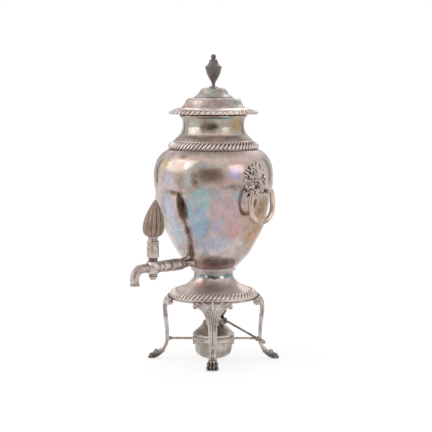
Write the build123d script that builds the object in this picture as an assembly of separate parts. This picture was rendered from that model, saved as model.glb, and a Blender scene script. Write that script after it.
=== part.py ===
from build123d import *
from math import cos, hypot, radians, sin
import os

# Silver-plated hot-water urn on a four-legged stand with a spirit burner, in millimetres.
# The origin is on the urn's axis at the table. +Z is up, the tap points along -Y, the lion
# masks look along +X and -X, and the legs stand on the four diagonals.

# Vessel
VESSEL_WALL = 1.5
VESSEL_BASE_Z = 127.0
VESSEL_BASE_R = 31.5
BODY_LIP_Z = 295.5
BODY_MOUTH_R = 57.0
# Outside of the body from the base ring up to the shoulder, as (radius, height)
BODY_PROFILE = [
    (31.5, 131.0), (39.9, 139.4), (49.7, 150.7), (59.5, 167.7), (70.7, 190.3), (77.6, 218.0),
    (82.0, 240.0), (83.3, 255.0), (82.3, 269.5), (78.4, 281.5), (72.0, 290.0), (64.6, 295.2),
]
NECK_WALL = 1.3
NECK_FOOT_Z = 305.0
NECK_TOP_Z = 341.5
NECK_PROFILE = [
    (57.4, NECK_FOOT_Z), (52.5, 311.0), (46.9, 316.5), (43.6, 324.0), (42.7, 330.0),
    (43.6, 337.0), (46.2, NECK_TOP_Z),
]
RIM_WIRE_R = 46.0
RIM_WIRE_SIZE = 1.25

# Lid and finial
LID_GAP = 0.35
LID_SEAT_Z = NECK_TOP_Z + 2 * RIM_WIRE_SIZE + LID_GAP
BEZEL_R = 41.7
BEZEL_BOTTOM_Z = 336.8
LID_PLATE_Z = 352.4
LID_PLATE_THICK = 1.2
LID_DOME_WALL = 1.2
LID_TOP_Z = 381.5
LID_DOME_PROFILE = [
    (45.2, LID_PLATE_Z + LID_PLATE_THICK), (43.4, 355.6), (40.6, 358.6), (38.4, 362.6), (36.2, 366.0),
    (27.0, 367.4), (25.0, 369.6), (21.2, 372.4), (18.6, 376.4), (15.6, 380.2), (13.6, LID_TOP_Z),
]
STUD_R = 1.5

# Pedestal and foot
STEM_WALL = 1.4
PEDESTAL_PROFILE = [
    (28.9, VESSEL_BASE_Z), (27.6, 123.0), (27.3, 119.5), (29.4, 114.8), (34.2, 109.4),
    (41.0, 104.8), (48.0, 102.0), (53.5, 99.0),
]
FOOT_RIM_R = 61.8
FOOT_RIM_Z = 87.0
FOOT_RIM_TOP_Z = 91.0

# Legs and stretchers
LEG_SHAFT_IN = 62.5
LEG_SHAFT_OUT = 67.5
LEG_CAPITAL_HALF_ANGLE = 25.0
STRETCHER_Z = 28.8
STRETCHER_R = 1.7

# Burner, its ring and the snuffer
RING_IN_R = 26.9
RING_OUT_R = 29.5
RING_BOTTOM_Z = 26.5
RING_TOP_Z = 32.0
POT_R = 26.2
POT_WALL = 1.0
POT_BOTTOM_Z = 2.0
COLLAR_R = 14.8
COLLAR_TOP_Z = 54.0
WICK_TUBE_R = 6.5
WICK_TUBE_TOP_Z = 61.0
SNUFFER_AZIMUTH = 10.0
SNUFFER_HINGE_R = 18.5
SNUFFER_HINGE_Z = 57.2
SNUFFER_LEVER_SLOPE = 20.0
SNUFFER_OPEN_ANGLE = 50.0
SNUFFER_PIN_R = 1.0
CAP_R = 13.6
CAP_MOUTH_Z = COLLAR_TOP_Z + 0.6
CAP_HEIGHT = 16.0
CAP_WALL = 0.8

# Tap
TAP_Z = 140.5
TAP_BORE_R = 3.0
VALVE_Y = 113.2
VALVE_R = 10.9
VALVE_NECK_R = 6.9
VALVE_BOTTOM_Z = 129.6
VALVE_TOP_Z = 148.6
PLUG_TOP_R = 6.1
PLUG_BOTTOM_R = 4.9
PLUG_CLEARANCE = 0.05
PLUG_TOP_Z = 152.6
SPOUT_Y = 145.8
SPOUT_R = 6.2
SPOUT_END_Z = 118.2
LEAF_BOTTOM_Z = 182.0
LEAF_HEIGHT = 50.0
LEAF_HALF_WIDTH = 17.0
LEAF_HALF_DEPTH = 12.4
LEAF_LEAN = 5.0

# Lion masks and drop handles
MASK_Z = 256.0
MASK_R = 22.0
HANDLE_X = 94.0
HANDLE_PIVOT_Z = 242.0
HANDLE_TUBE_R = 3.1
HANDLE_BEND_R = 20.9
HANDLE_BEND_Z = 221.6
HANDLE_PIN_R = 2.0
LUG_IN_Y = 9.5
LUG_OUT_Y = 14.8
HANDLE_TOP_Y = 18.3
RUNNING_CLEARANCE = 0.06


def as_points(outline):
    """Turns (radius, height) pairs into points on the XZ plane."""
    return [(radius, 0, height) for radius, height in outline]


def turned(outline):
    """A solid spun about the urn's axis from a closed outline of straight lines."""
    return revolve(make_face(Polyline(as_points(outline), close=True)), Axis.Z)


def inner_line(profile, wall):
    """The profile moved square to itself by the wall, towards the axis."""
    moved = []
    for index, (radius, height) in enumerate(profile):
        before = profile[max(index - 1, 0)]
        after = profile[min(index + 1, len(profile) - 1)]
        run, rise = after[0] - before[0], after[1] - before[1]
        size = hypot(run, rise)
        moved.append((radius - wall * rise / size, height + wall * run / size))
    return moved


def level_ends(inner, profile):
    """Ends the inner line at the same heights as the outside."""
    first = (inner[0][0], profile[0][1])
    last = (inner[-1][0], profile[-1][1])
    return [first] + inner[1:-1] + [last]


def spun_shell(profile, wall):
    """A spun sheet of even thickness with a smooth outside through the profile."""
    inner = level_ends(inner_line(profile, wall), profile)
    outside = Spline(as_points(profile))
    inside = Spline(as_points(inner))
    foot = Line(outside @ 0, inside @ 0)
    top = Line(outside @ 1, inside @ 1)
    return revolve(make_face([foot, outside, top, inside]), Axis.Z)


def half_round(inside_r, outside_r, bottom_z, top_z):
    """A ring with a flat bottom, a flat inside and a rounded outside."""
    mid_z = (bottom_z + top_z) / 2
    bottom = Line((inside_r, 0, bottom_z), (outside_r - 1.6, 0, bottom_z))
    bulge = ThreePointArc(bottom @ 1, (outside_r, 0, mid_z), (outside_r - 3.0, 0, top_z))
    top = Line(bulge @ 1, (inside_r, 0, top_z))
    back = Line(top @ 1, bottom @ 0)
    return revolve(make_face([bottom, bulge, top, back]), Axis.Z)


def along_tap(outline):
    """A solid turned about the tap's axis from (radius, distance from the urn's axis) pairs."""
    axis = Axis((0, 0, TAP_Z), (0, -1, 0))
    points = [(0, -distance, TAP_Z + radius) for radius, distance in outline]
    return revolve(make_face(Polyline(points, close=True)), axis)


def rod(radius, start, end):
    """A round bar between two points."""
    run = Vector(*end) - Vector(*start)
    plane = Plane(origin=start, z_dir=run)
    return extrude(plane * Circle(radius), run.length)


def box_between(low, high):
    """A box from its lowest to its highest corner."""
    size = [high[i] - low[i] for i in range(3)]
    centre = [(high[i] + low[i]) / 2 for i in range(3)]
    return Pos(*centre) * Box(*size)


# Vessel, from the base up

def vessel_envelope():
    """The filled outside of the body, used to fit what is soldered on to it."""
    outside = Spline(as_points(BODY_PROFILE))
    rest = Polyline((outside @ 1), (0, 0, BODY_PROFILE[-1][1]), (0, 0, VESSEL_BASE_Z),
                    (VESSEL_BASE_R, 0, VESSEL_BASE_Z), (outside @ 0))
    return revolve(make_face([outside, rest]), Axis.Z)


def make_vessel_body():
    """The raised body, one sheet from the flat base up to the mouth, with the tap's hole."""
    inner = inner_line(BODY_PROFILE, VESSEL_WALL)
    inner[0] = (VESSEL_BASE_R - VESSEL_WALL - 0.5, BODY_PROFILE[0][1])
    outside = Spline(as_points(BODY_PROFILE))
    inside = Spline(as_points(inner))
    lip = Polyline(outside @ 1, (64.0, 0, BODY_LIP_Z), (BODY_MOUTH_R, 0, BODY_LIP_Z),
                   (BODY_MOUTH_R, 0, BODY_LIP_Z - VESSEL_WALL), inside @ 1)
    floor_z = VESSEL_BASE_Z + VESSEL_WALL
    base = Polyline(inside @ 0, (inner[0][0], 0, floor_z), (0, 0, floor_z),
                    (0, 0, VESSEL_BASE_Z), (VESSEL_BASE_R, 0, VESSEL_BASE_Z), outside @ 0)
    body = revolve(make_face([outside, lip, inside, base]), Axis.Z)
    return body - rod(TAP_BORE_R, (0, -20, TAP_Z), (0, -60, TAP_Z))


def make_collar_gadroon():
    """The half-round border that covers the join of body and neck."""
    return half_round(BODY_MOUTH_R - 1.0, 65.3, BODY_LIP_Z, NECK_FOOT_Z)


def make_neck():
    """The waisted neck."""
    return spun_shell(NECK_PROFILE, NECK_WALL)


def make_neck_rim_wire():
    """The wire soldered round the mouth, which the lid sits on."""
    low_z, size = NECK_TOP_Z, RIM_WIRE_SIZE
    flat = Line((RIM_WIRE_R - size, 0, low_z), (RIM_WIRE_R + size, 0, low_z))
    curve = ThreePointArc(flat @ 1, (RIM_WIRE_R, 0, low_z + 2 * size), flat @ 0)
    return revolve(make_face([flat, curve]), Axis.Z)


# Lid and finial

def make_lid_flange():
    """The sloping skirt of the lid."""
    plate_top = LID_PLATE_Z + LID_PLATE_THICK
    return turned([
        (BEZEL_R - 1.3, LID_PLATE_Z), (46.0, LID_PLATE_Z), (61.2, 344.6), (62.4, 345.4),
        (62.0, 346.6), (60.4, 347.4), (53.0, 351.4), (46.4, 354.6), (45.4, plate_top),
        (BEZEL_R - 1.3, plate_top),
    ])


def make_lid_dome():
    """The two-stepped dome of the lid, with the hole for the finial's stud."""
    inner = level_ends(inner_line(LID_DOME_PROFILE, LID_DOME_WALL), LID_DOME_PROFILE)
    inner[-1] = (12.6, LID_TOP_Z - LID_DOME_WALL)
    crown = [(STUD_R + 0.05, LID_TOP_Z), (STUD_R + 0.05, LID_TOP_Z - LID_DOME_WALL)]
    return turned(LID_DOME_PROFILE + crown + inner[::-1])


def make_lid_bezel():
    """The tube that centres the lid in the neck, with the flange that it sits on."""
    inside_r = BEZEL_R - 1.3
    return turned([
        (inside_r, BEZEL_BOTTOM_Z), (BEZEL_R, BEZEL_BOTTOM_Z), (BEZEL_R, LID_SEAT_Z),
        (48.6, LID_SEAT_Z), (48.6, LID_SEAT_Z + 1.1), (BEZEL_R, LID_SEAT_Z + 1.1),
        (BEZEL_R, LID_PLATE_Z), (inside_r, LID_PLATE_Z),
    ])


def make_finial_foot():
    """The small spool under the finial's urn."""
    bore = STUD_R + 0.05
    return turned([
        (bore, LID_TOP_Z), (6.0, LID_TOP_Z), (6.0, 382.6), (4.6, 384.2), (2.2, 385.2), (1.9, 386.0),
        (2.9, 386.8), (2.9, 388.2), (2.2, 388.7), (bore, 388.7),
    ])


def make_finial_urn():
    """The finial's urn, turned from hardwood."""
    curve = Spline((2.6, 0, 388.7), (4.1, 0, 391.4), (5.4, 0, 394.0), (7.2, 0, 398.0),
                   (9.2, 0, 402.8), (10.9, 0, 407.8))
    rim = Polyline(curve @ 1, (11.4, 0, 408.4), (11.4, 0, 410.6), (10.4, 0, 411.4),
                   (5.6, 0, 416.6), (4.6, 0, 418.0), (0, 0, 418.0), (0, 0, 388.7), curve @ 0)
    return revolve(make_face([curve, rim]), Axis.Z)


def make_finial_cap():
    """The disc on top of the finial's urn."""
    return turned([(0, 418.0), (5.0, 418.0), (5.6, 418.6), (5.6, 419.6), (4.4, 420.4), (2.0, 420.8),
                   (0, 420.8)])


def make_finial_ball():
    """The ball on top of the finial."""
    ball = Pos(0, 0, 423.9) * Sphere(3.7)
    return ball - box_between((-5, -5, 415), (5, 5, 420.8))


def make_finial_stud():
    """The screwed stud that holds the finial on the lid."""
    return rod(STUD_R, (0, 0, 374.5), (0, 0, 388.7))


def make_finial_nut():
    """The nut on the stud, inside the lid."""
    top_z = LID_TOP_Z - LID_DOME_WALL
    nut = extrude(Pos(0, 0, top_z - 3.2) * RegularPolygon(4.6, 6), 3.2)
    return nut - rod(STUD_R + 0.05, (0, 0, 370), (0, 0, top_z))


# Pedestal, foot and legs

def make_pedestal():
    """The stem and the domed foot, one spun sheet that is open from below as a flue."""
    return spun_shell(PEDESTAL_PROFILE[::-1], STEM_WALL)


def make_foot_gadroon():
    """The border of lobes round the domed foot."""
    return turned([
        (53.8, 99.0), (55.4, 98.8), (59.0, 96.4), (61.6, 93.8), (62.6, 92.2), (62.2, FOOT_RIM_TOP_Z),
        (60.2, FOOT_RIM_TOP_Z), (53.8, 97.2),
    ])


def make_foot_rim():
    """The plain band under the lobes, which the legs are fixed to."""
    return turned([(60.0, FOOT_RIM_Z), (FOOT_RIM_R, FOOT_RIM_Z), (FOOT_RIM_R, FOOT_RIM_TOP_Z),
                   (60.0, FOOT_RIM_TOP_Z)])


def leg_side_outline():
    """The shaft, ankle and paw seen from the side, as (distance from the axis, height)."""
    outer = [
        (71.2, 66.0), (69.6, 57.0), (68.2, 50.0), (LEG_SHAFT_OUT, 40.0), (LEG_SHAFT_OUT, 25.0),
        (68.3, 20.5), (70.2, 16.8), (73.0, 14.0), (76.4, 12.9), (79.6, 13.2), (82.4, 12.8),
        (85.0, 10.8), (87.4, 8.6), (89.6, 6.6), (91.8, 4.6), (93.1, 2.6), (92.8, 0.8), (91.6, 0.0),
    ]
    inner = [
        (84.4, 0.0), (82.6, 0.9), (79.8, 3.0), (76.2, 5.6), (72.4, 8.2), (69.0, 11.4),
        (65.8, 16.0), (63.6, 21.0), (LEG_SHAFT_IN, 25.4), (LEG_SHAFT_IN, 38.0), (63.2, 51.0),
        (64.6, 66.0),
    ]
    return outer + inner


def leg_front_half():
    """Half of the leg's outline seen from the front, as (distance from its middle, height)."""
    return [
        (8.5, 0.0), (8.7, 2.4), (8.4, 6.0), (7.5, 9.6), (6.5, 12.8), (5.4, 15.6), (5.3, 18.0),
        (5.7, 25.0), (6.6, 50.0),
        (7.0, 58.0), (7.6, 61.0), (7.8, 66.0), (9.2, 71.0), (11.4, 76.6), (14.4, 81.0),
        (17.8, 83.6), (20.6, 83.4), (22.0, 81.2), (24.4, 80.4), (26.8, 81.6), (27.6, 84.0),
        (27.6, 92.0),
    ]


def leg_capital():
    """The leaf capital, which wraps round the foot under its rim."""
    section = [
        (60.2, FOOT_RIM_Z), (62.2, FOOT_RIM_Z), (62.2, 90.0), (65.4, 90.0), (68.4, 87.6),
        (70.8, 82.2), (71.8, 75.0), (71.0, 66.0), (70.2, 60.0), (64.6, 60.0), (65.2, 68.0),
        (65.7, 75.0), (64.2, 80.0), (61.8, 82.0), (60.2, 82.4),
    ]
    face = make_face(Polyline(as_points(section), close=True))
    whole = revolve(face, Axis.Z, 2 * LEG_CAPITAL_HALF_ANGLE)
    return Rot(0, 0, -LEG_CAPITAL_HALF_ANGLE) * whole


def make_leg(azimuth):
    """One cast leg: a fluted strap with a leaf capital above and a paw with four toes below."""
    half = leg_front_half()
    front = [(0, side, height) for side, height in half]
    front += [(0, -side, height) for side, height in reversed(half)]
    front_block = extrude(make_face(Polyline(front, close=True)), 110, dir=(1, 0, 0))
    side_face = make_face(Polyline(as_points(leg_side_outline()), close=True))
    strap = extrude(side_face, 30, both=True, dir=(0, 1, 0))
    leg = (strap & front_block) + (leg_capital() & front_block)
    for gap in (-4.3, 0.0, 4.3):
        groove = make_face(Polyline((81, gap - 1.0, 15), (81, gap + 1.0, 15), (81, gap, 3.5), close=True))
        leg -= extrude(groove, 20, dir=(1, 0, 0))
    return Rot(0, 0, azimuth) * leg


def make_stretcher(azimuth):
    """A tie rod from the burner ring to a leg, with its collar."""
    z = STRETCHER_Z
    tie = rod(STRETCHER_R, (RING_OUT_R + 0.05, 0, z), (LEG_SHAFT_IN, 0, z))
    collar = rod(3.1, (LEG_SHAFT_IN - 1.8, 0, z), (LEG_SHAFT_IN, 0, z))
    bead = rod(2.3, (LEG_SHAFT_IN - 3.8, 0, z), (LEG_SHAFT_IN - 1.8, 0, z))
    return Rot(0, 0, azimuth) * (tie + collar + bead)


# Burner

def make_burner_ring():
    """The ring that carries the burner, with its four lugs."""
    ring = turned([
        (RING_IN_R, RING_BOTTOM_Z), (RING_OUT_R - 0.5, RING_BOTTOM_Z), (RING_OUT_R, 27.2),
        (RING_OUT_R, 31.3), (RING_OUT_R - 0.6, RING_TOP_Z), (RING_IN_R, RING_TOP_Z),
    ])
    for azimuth in (45, 135, 225, 315):
        lug = box_between((27.3, -2.6, 20.5), (RING_OUT_R - 0.3, 2.6, RING_BOTTOM_Z + 1))
        ring += Rot(0, 0, azimuth) * lug
    return ring


def make_burner_pot():
    """The spirit pot, with the flange that it hangs by."""
    seat_z = RING_TOP_Z + 0.35
    inner_r = POT_R - POT_WALL
    outer_bowl = Spline((12.0, 0, POT_BOTTOM_Z), (19.5, 0, 4.6), (24.6, 0, 10.0), (POT_R, 0, 17.0))
    inner_bowl = Spline((inner_r, 0, 17.4), (23.6, 0, 10.6), (18.9, 0, 5.6),
                        (11.8, 0, POT_BOTTOM_Z + POT_WALL))
    side = Polyline(outer_bowl @ 1, (POT_R, 0, seat_z), (29.2, 0, seat_z), (29.2, 0, seat_z + 1.2),
                    (inner_r, 0, seat_z + 1.2), inner_bowl @ 0)
    base = Polyline(inner_bowl @ 1, (0, 0, POT_BOTTOM_Z + POT_WALL), (0, 0, POT_BOTTOM_Z),
                    outer_bowl @ 0)
    return revolve(make_face([outer_bowl, side, inner_bowl, base]), Axis.Z)


def make_burner_top():
    """The conical shoulder with its collar, which plugs into the pot."""
    seat_z = RING_TOP_Z + 1.9
    return turned([
        (24.8, 32.3), (24.8, seat_z), (29.3, seat_z), (29.3, 36.8), (15.2, 50.0),
        (COLLAR_R, 50.4), (COLLAR_R, 51.4), (13.6, 51.8), (13.6, 52.4), (COLLAR_R, 52.8),
        (COLLAR_R, COLLAR_TOP_Z), (WICK_TUBE_R + 0.05, COLLAR_TOP_Z), (WICK_TUBE_R + 0.05, 53.0),
        (12.6, 53.0), (12.6, 50.6), (26.6, 37.2), (26.6, 35.2), (23.9, 34.9), (23.9, 32.3),
    ])


def make_wick_tube():
    """The tube that holds the wick."""
    wall = 1.0
    return turned([(WICK_TUBE_R - wall, 44.0), (WICK_TUBE_R, 44.0), (WICK_TUBE_R, WICK_TUBE_TOP_Z),
                   (WICK_TUBE_R - wall, WICK_TUBE_TOP_Z)])


def make_wick():
    """The cotton wick."""
    return turned([(0, 38.0), (5.4, 38.0), (5.4, 62.2), (4.2, 63.4), (0, 63.8)])


def at_hinge(shape):
    """Turns a shape made along +X to the side that the snuffer's hinge is on."""
    return Rot(0, 0, SNUFFER_AZIMUTH) * shape


def make_snuffer_bracket():
    """Two ears on the burner's collar that hold the snuffer's pin."""
    block = box_between((13.0, -3.5, 51.0), (16.2, 3.5, COLLAR_TOP_Z))
    for side in (-1, 1):
        low, high = sorted((side * 2.3, side * 3.5))
        block += box_between((13.0, low, 51.0), (20.6, high, SNUFFER_HINGE_Z + 2.2))
    block -= Pos(0, 0, 55) * Cylinder(COLLAR_R + 0.05, 20)
    x, z = SNUFFER_HINGE_R, SNUFFER_HINGE_Z
    bore = rod(SNUFFER_PIN_R + 0.02, (x, -6, z), (x, 6, z))
    return at_hinge(block - bore)


def make_snuffer_pin():
    """The snuffer's hinge pin, with a head at each end."""
    x, z = SNUFFER_HINGE_R, SNUFFER_HINGE_Z
    pin = rod(SNUFFER_PIN_R, (x, -4.4, z), (x, 4.4, z))
    heads = rod(1.7, (x, -4.4, z), (x, -3.55, z)) + rod(1.7, (x, 3.55, z), (x, 4.4, z))
    return at_hinge(pin + heads)


def lever_point(distance):
    """A point on the lever, by its distance from the hinge pin, before it is turned to its side."""
    slope = radians(SNUFFER_LEVER_SLOPE)
    return (SNUFFER_HINGE_R + distance * cos(slope), 0, SNUFFER_HINGE_Z - distance * sin(slope))


def make_snuffer_lever():
    """The eye on the pin, the rod to the knob and the strap to the cap."""
    x, z = SNUFFER_HINGE_R, SNUFFER_HINGE_Z
    eye = rod(2.4, (x, -2.0, z), (x, 2.0, z))
    bar = rod(1.5, lever_point(0), lever_point(59.0))
    strap = box_between((CAP_R - 0.2, -1.8, z - 1.2), (x, 1.8, z + 1.2))
    strap = strap.rotate(Axis((x, 0, z), (0, 1, 0)), SNUFFER_OPEN_ANGLE)
    bore = rod(SNUFFER_PIN_R + RUNNING_CLEARANCE, (x, -6, z), (x, 6, z))
    return at_hinge(eye + bar + strap - bore - open_cap_space())


def open_cap_space():
    """The cap's filled outside where it stands open, which the strap is fitted to."""
    return opened(turned(cap_outside() + [(0, CAP_MOUTH_Z)]))


def opened(shape):
    """Swings a shape made over the wick to where the open snuffer stands."""
    hinge = Axis((SNUFFER_HINGE_R, 0, SNUFFER_HINGE_Z), (0, 1, 0))
    return shape.rotate(hinge, SNUFFER_OPEN_ANGLE)


def cap_outside():
    """The bell's outside over the wick, as (radius, height)."""
    z = CAP_MOUTH_Z
    return [(CAP_R, z), (CAP_R, z + 1.2), (13.0, z + 4.0), (12.0, z + 8.4), (9.4, z + 12.8),
            (5.2, z + 15.2), (0, z + CAP_HEIGHT)]


def make_snuffer_cap():
    """The bell that shuts over the wick, where it stands open."""
    outside = cap_outside()
    inside = [(max(radius - CAP_WALL, 0), height - CAP_WALL) for radius, height in outside[1:]]
    inside = [(CAP_R - CAP_WALL, CAP_MOUTH_Z)] + inside
    return at_hinge(opened(turned(outside + inside[::-1])))


def make_snuffer_knob():
    """The turned finger knob on the end of the lever."""
    steps = [(0, 59.0), (1.4, 59.0), (4.0, 59.4), (4.0, 60.8), (1.9, 61.4), (2.9, 62.6), (2.9, 63.8),
             (1.8, 65.0), (2.6, 66.0), (3.5, 68.4), (2.9, 71.0), (1.4, 72.2), (1.7, 73.2), (0, 74.2)]
    start, end = Vector(*lever_point(0)), Vector(*lever_point(1))
    plane = Plane(origin=start, x_dir=(0, 1, 0), z_dir=end - start)
    outline = [plane.from_local_coords((radius, 0, distance)) for radius, distance in steps]
    return at_hinge(revolve(make_face(Polyline(outline, close=True)), Axis(start, end - start)))


# Tap

def valve_ball(radius):
    """A ball at the middle of the tap's valve."""
    return Pos(0, -VALVE_Y, TAP_Z) * Sphere(radius)


def make_tap_root():
    """The socket soldered to the body, with its back cut to the body's curve."""
    socket = along_tap([
        (TAP_BORE_R, 34.0), (6.4, 34.0), (6.4, 42.6), (5.0, 45.6), (3.9, 49.0), (3.9, 51.0),
        (TAP_BORE_R, 51.0),
    ])
    return socket - vessel_envelope()


def make_tap_barrel():
    """The rolled barrel between the socket and the valve."""
    end = VALVE_Y - 4
    barrel = along_tap([
        (TAP_BORE_R, 51.0), (3.9, 51.0), (4.4, 54.0), (6.2, 58.0), (7.7, 62.0), (7.9, 63.4),
        (6.9, 64.4), (7.9, 66.0), (8.2, 70.0), (8.2, 80.0), (7.8, 82.8), (6.9, 84.0), (7.9, 85.6),
        (8.1, 90.0), (7.8, 98.2), (6.8, 100.0), (7.5, 101.6), (7.5, end), (TAP_BORE_R, end),
    ])
    return barrel - valve_ball(VALVE_R)


def plug_radius(z):
    """The plug's taper."""
    share = (z - VALVE_BOTTOM_Z) / (VALVE_TOP_Z - VALVE_BOTTOM_Z)
    return PLUG_BOTTOM_R + share * (PLUG_TOP_R - PLUG_BOTTOM_R)


def on_valve(outline):
    """A solid turned about the valve's upright axis."""
    return Pos(0, -VALVE_Y, 0) * turned(outline)


def make_tap_valve_body():
    """The ball of the valve, bored for the water and for the tapered plug."""
    low, high = VALVE_BOTTOM_Z - 1, VALVE_TOP_Z + 1
    neck = Pos(0, -VALVE_Y, (VALVE_BOTTOM_Z + VALVE_TOP_Z) / 2)
    body = valve_ball(VALVE_R) + neck * Cylinder(VALVE_NECK_R, VALVE_TOP_Z - VALVE_BOTTOM_Z)
    body -= box_between((-20, -VALVE_Y - 20, VALVE_TOP_Z), (20, -VALVE_Y + 20, VALVE_TOP_Z + 10))
    body -= box_between((-20, -VALVE_Y - 20, VALVE_BOTTOM_Z - 10), (20, -VALVE_Y + 20, VALVE_BOTTOM_Z))
    gap = PLUG_CLEARANCE
    body -= on_valve([(0, low), (plug_radius(low) + gap, low), (plug_radius(high) + gap, high), (0, high)])
    return body - rod(TAP_BORE_R, (0, -VALVE_Y + 20, TAP_Z), (0, -VALVE_Y - 20, TAP_Z))


def make_tap_spout():
    """The bent spout."""
    path = FilletPolyline((0, -VALVE_Y - 5, TAP_Z), (0, -SPOUT_Y, TAP_Z), (0, -SPOUT_Y, SPOUT_END_Z + 2.8),
                          radius=13.0)
    start = Plane(origin=path @ 0, z_dir=path % 0)
    pipe = sweep(start * Circle(SPOUT_R), path=path) - sweep(start * Circle(TAP_BORE_R + 0.4), path=path)
    return pipe - valve_ball(VALVE_R)


def make_tap_spout_lip():
    """The ring round the spout's mouth."""
    lip = turned([(TAP_BORE_R + 0.4, SPOUT_END_Z), (6.2, SPOUT_END_Z), (6.6, SPOUT_END_Z + 0.6),
                  (6.6, SPOUT_END_Z + 2.0), (6.2, SPOUT_END_Z + 2.8), (TAP_BORE_R + 0.4, SPOUT_END_Z + 2.8)])
    return Pos(0, -SPOUT_Y, 0) * lip


def make_tap_plug():
    """The tapered plug with its cross bore and its screwed tail."""
    low = VALVE_BOTTOM_Z - 0.6
    plug = on_valve([
        (0, 124.6), (2.4, 124.6), (2.4, low), (plug_radius(low), low),
        (plug_radius(VALVE_TOP_Z), VALVE_TOP_Z), (PLUG_TOP_R, PLUG_TOP_Z), (0, PLUG_TOP_Z),
    ])
    return plug - rod(TAP_BORE_R, (0, -VALVE_Y + 10, TAP_Z), (0, -VALVE_Y - 10, TAP_Z))


def make_tap_washer():
    """The washer under the valve."""
    return on_valve([(2.45, 127.2), (6.0, 127.2), (6.2, 127.7), (6.2, 128.6), (2.45, 128.6)])


def make_tap_nut():
    """The nut that pulls the plug into its taper."""
    nut = extrude(Pos(0, -VALVE_Y, 123.8) * RegularPolygon(4.0, 6), 3.4)
    return nut - rod(2.45, (0, -VALVE_Y, 120), (0, -VALVE_Y, 130))


def make_key_stem():
    """The turned stem between the plug and the leaf."""
    return on_valve([
        (0, PLUG_TOP_Z), (5.8, PLUG_TOP_Z), (5.8, 154.4), (7.4, 154.8), (7.9, 156.0), (8.0, 166.0),
        (7.6, 169.4), (6.9, 170.2), (7.9, 170.8), (7.9, 172.2), (7.1, 172.8), (7.6, 174.2),
        (7.9, 177.0), (7.4, 178.2), (6.5, 178.8), (6.5, LEAF_BOTTOM_Z), (0, LEAF_BOTTOM_Z),
    ])


def make_key_leaf():
    """The bud-shaped finger grip, widest a quarter of the way up, leaning towards the urn."""
    shares = [(0.0, 0.42), (0.03, 0.62), (0.08, 0.84), (0.15, 0.95), (0.25, 1.0), (0.4, 0.96),
              (0.57, 0.81), (0.74, 0.57), (0.86, 0.35), (0.94, 0.19), (1.0, 0.05)]
    rings = Sketch()
    for height, width in shares:
        place = Pos(0, -VALVE_Y + LEAF_LEAN * height, LEAF_BOTTOM_Z + LEAF_HEIGHT * height)
        rings += place * Ellipse(LEAF_HALF_WIDTH * width, LEAF_HALF_DEPTH * width)
    return loft(rings.faces())


# Masks and handles

def mask_at_right():
    """A domed mask with a muzzle and two lugs, its back cut to the body's curve."""
    dome = [(74.0, 0), (74.0, MASK_R), (85.0, MASK_R), (88.6, 20.2), (91.8, 15.6), (93.8, 8.0), (94.4, 0)]
    points = [(x, 0, MASK_Z + radius) for x, radius in dome]
    mask = revolve(make_face(Polyline(points, close=True)), Axis((0, 0, MASK_Z), (1, 0, 0)))
    mask += Pos(89.4, 0, 247.4) * Sphere(8.4)
    for side in (-1, 1):
        low, high = sorted((side * LUG_IN_Y, side * LUG_OUT_Y))
        mask += box_between((78, low, HANDLE_PIVOT_Z - 2.6), (HANDLE_X, high, HANDLE_PIVOT_Z + 2.6))
        mask += rod(3.6, (HANDLE_X, low, HANDLE_PIVOT_Z), (HANDLE_X, high, HANDLE_PIVOT_Z))
    bore = HANDLE_PIN_R + RUNNING_CLEARANCE
    for side in (-1, 1):
        inner, outer = side * (LUG_IN_Y - 0.5), side * (LUG_OUT_Y + 1)
        mask -= rod(bore, (HANDLE_X, inner, HANDLE_PIVOT_Z), (HANDLE_X, outer, HANDLE_PIVOT_Z))
    return mask - vessel_envelope()


def handle_at_right():
    """A horseshoe drop handle with a pin turned in at each end."""
    x, bend = HANDLE_X, HANDLE_BEND_R
    limb = [(HANDLE_TOP_Y, HANDLE_PIVOT_Z), (19.8, 235.6), (bend, 228.4)]
    limb += [(bend * cos(radians(a)), HANDLE_BEND_Z - bend * sin(radians(a))) for a in (0, 30, 60)]
    side_points = limb + [(0, HANDLE_BEND_Z - bend)] + [(-y, z) for y, z in reversed(limb)]
    path = Spline([(x, y, z) for y, z in side_points])
    start = Plane(origin=path @ 0, z_dir=path % 0)
    handle = sweep(start * Circle(HANDLE_TUBE_R), path=path)
    for side in (-1, 1):
        top = (x, side * HANDLE_TOP_Y, HANDLE_PIVOT_Z)
        handle += Pos(*top) * Sphere(HANDLE_TUBE_R)
        handle += rod(HANDLE_PIN_R, top, (x, side * (LUG_IN_Y + 0.5), HANDLE_PIVOT_Z))
    return handle


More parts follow.
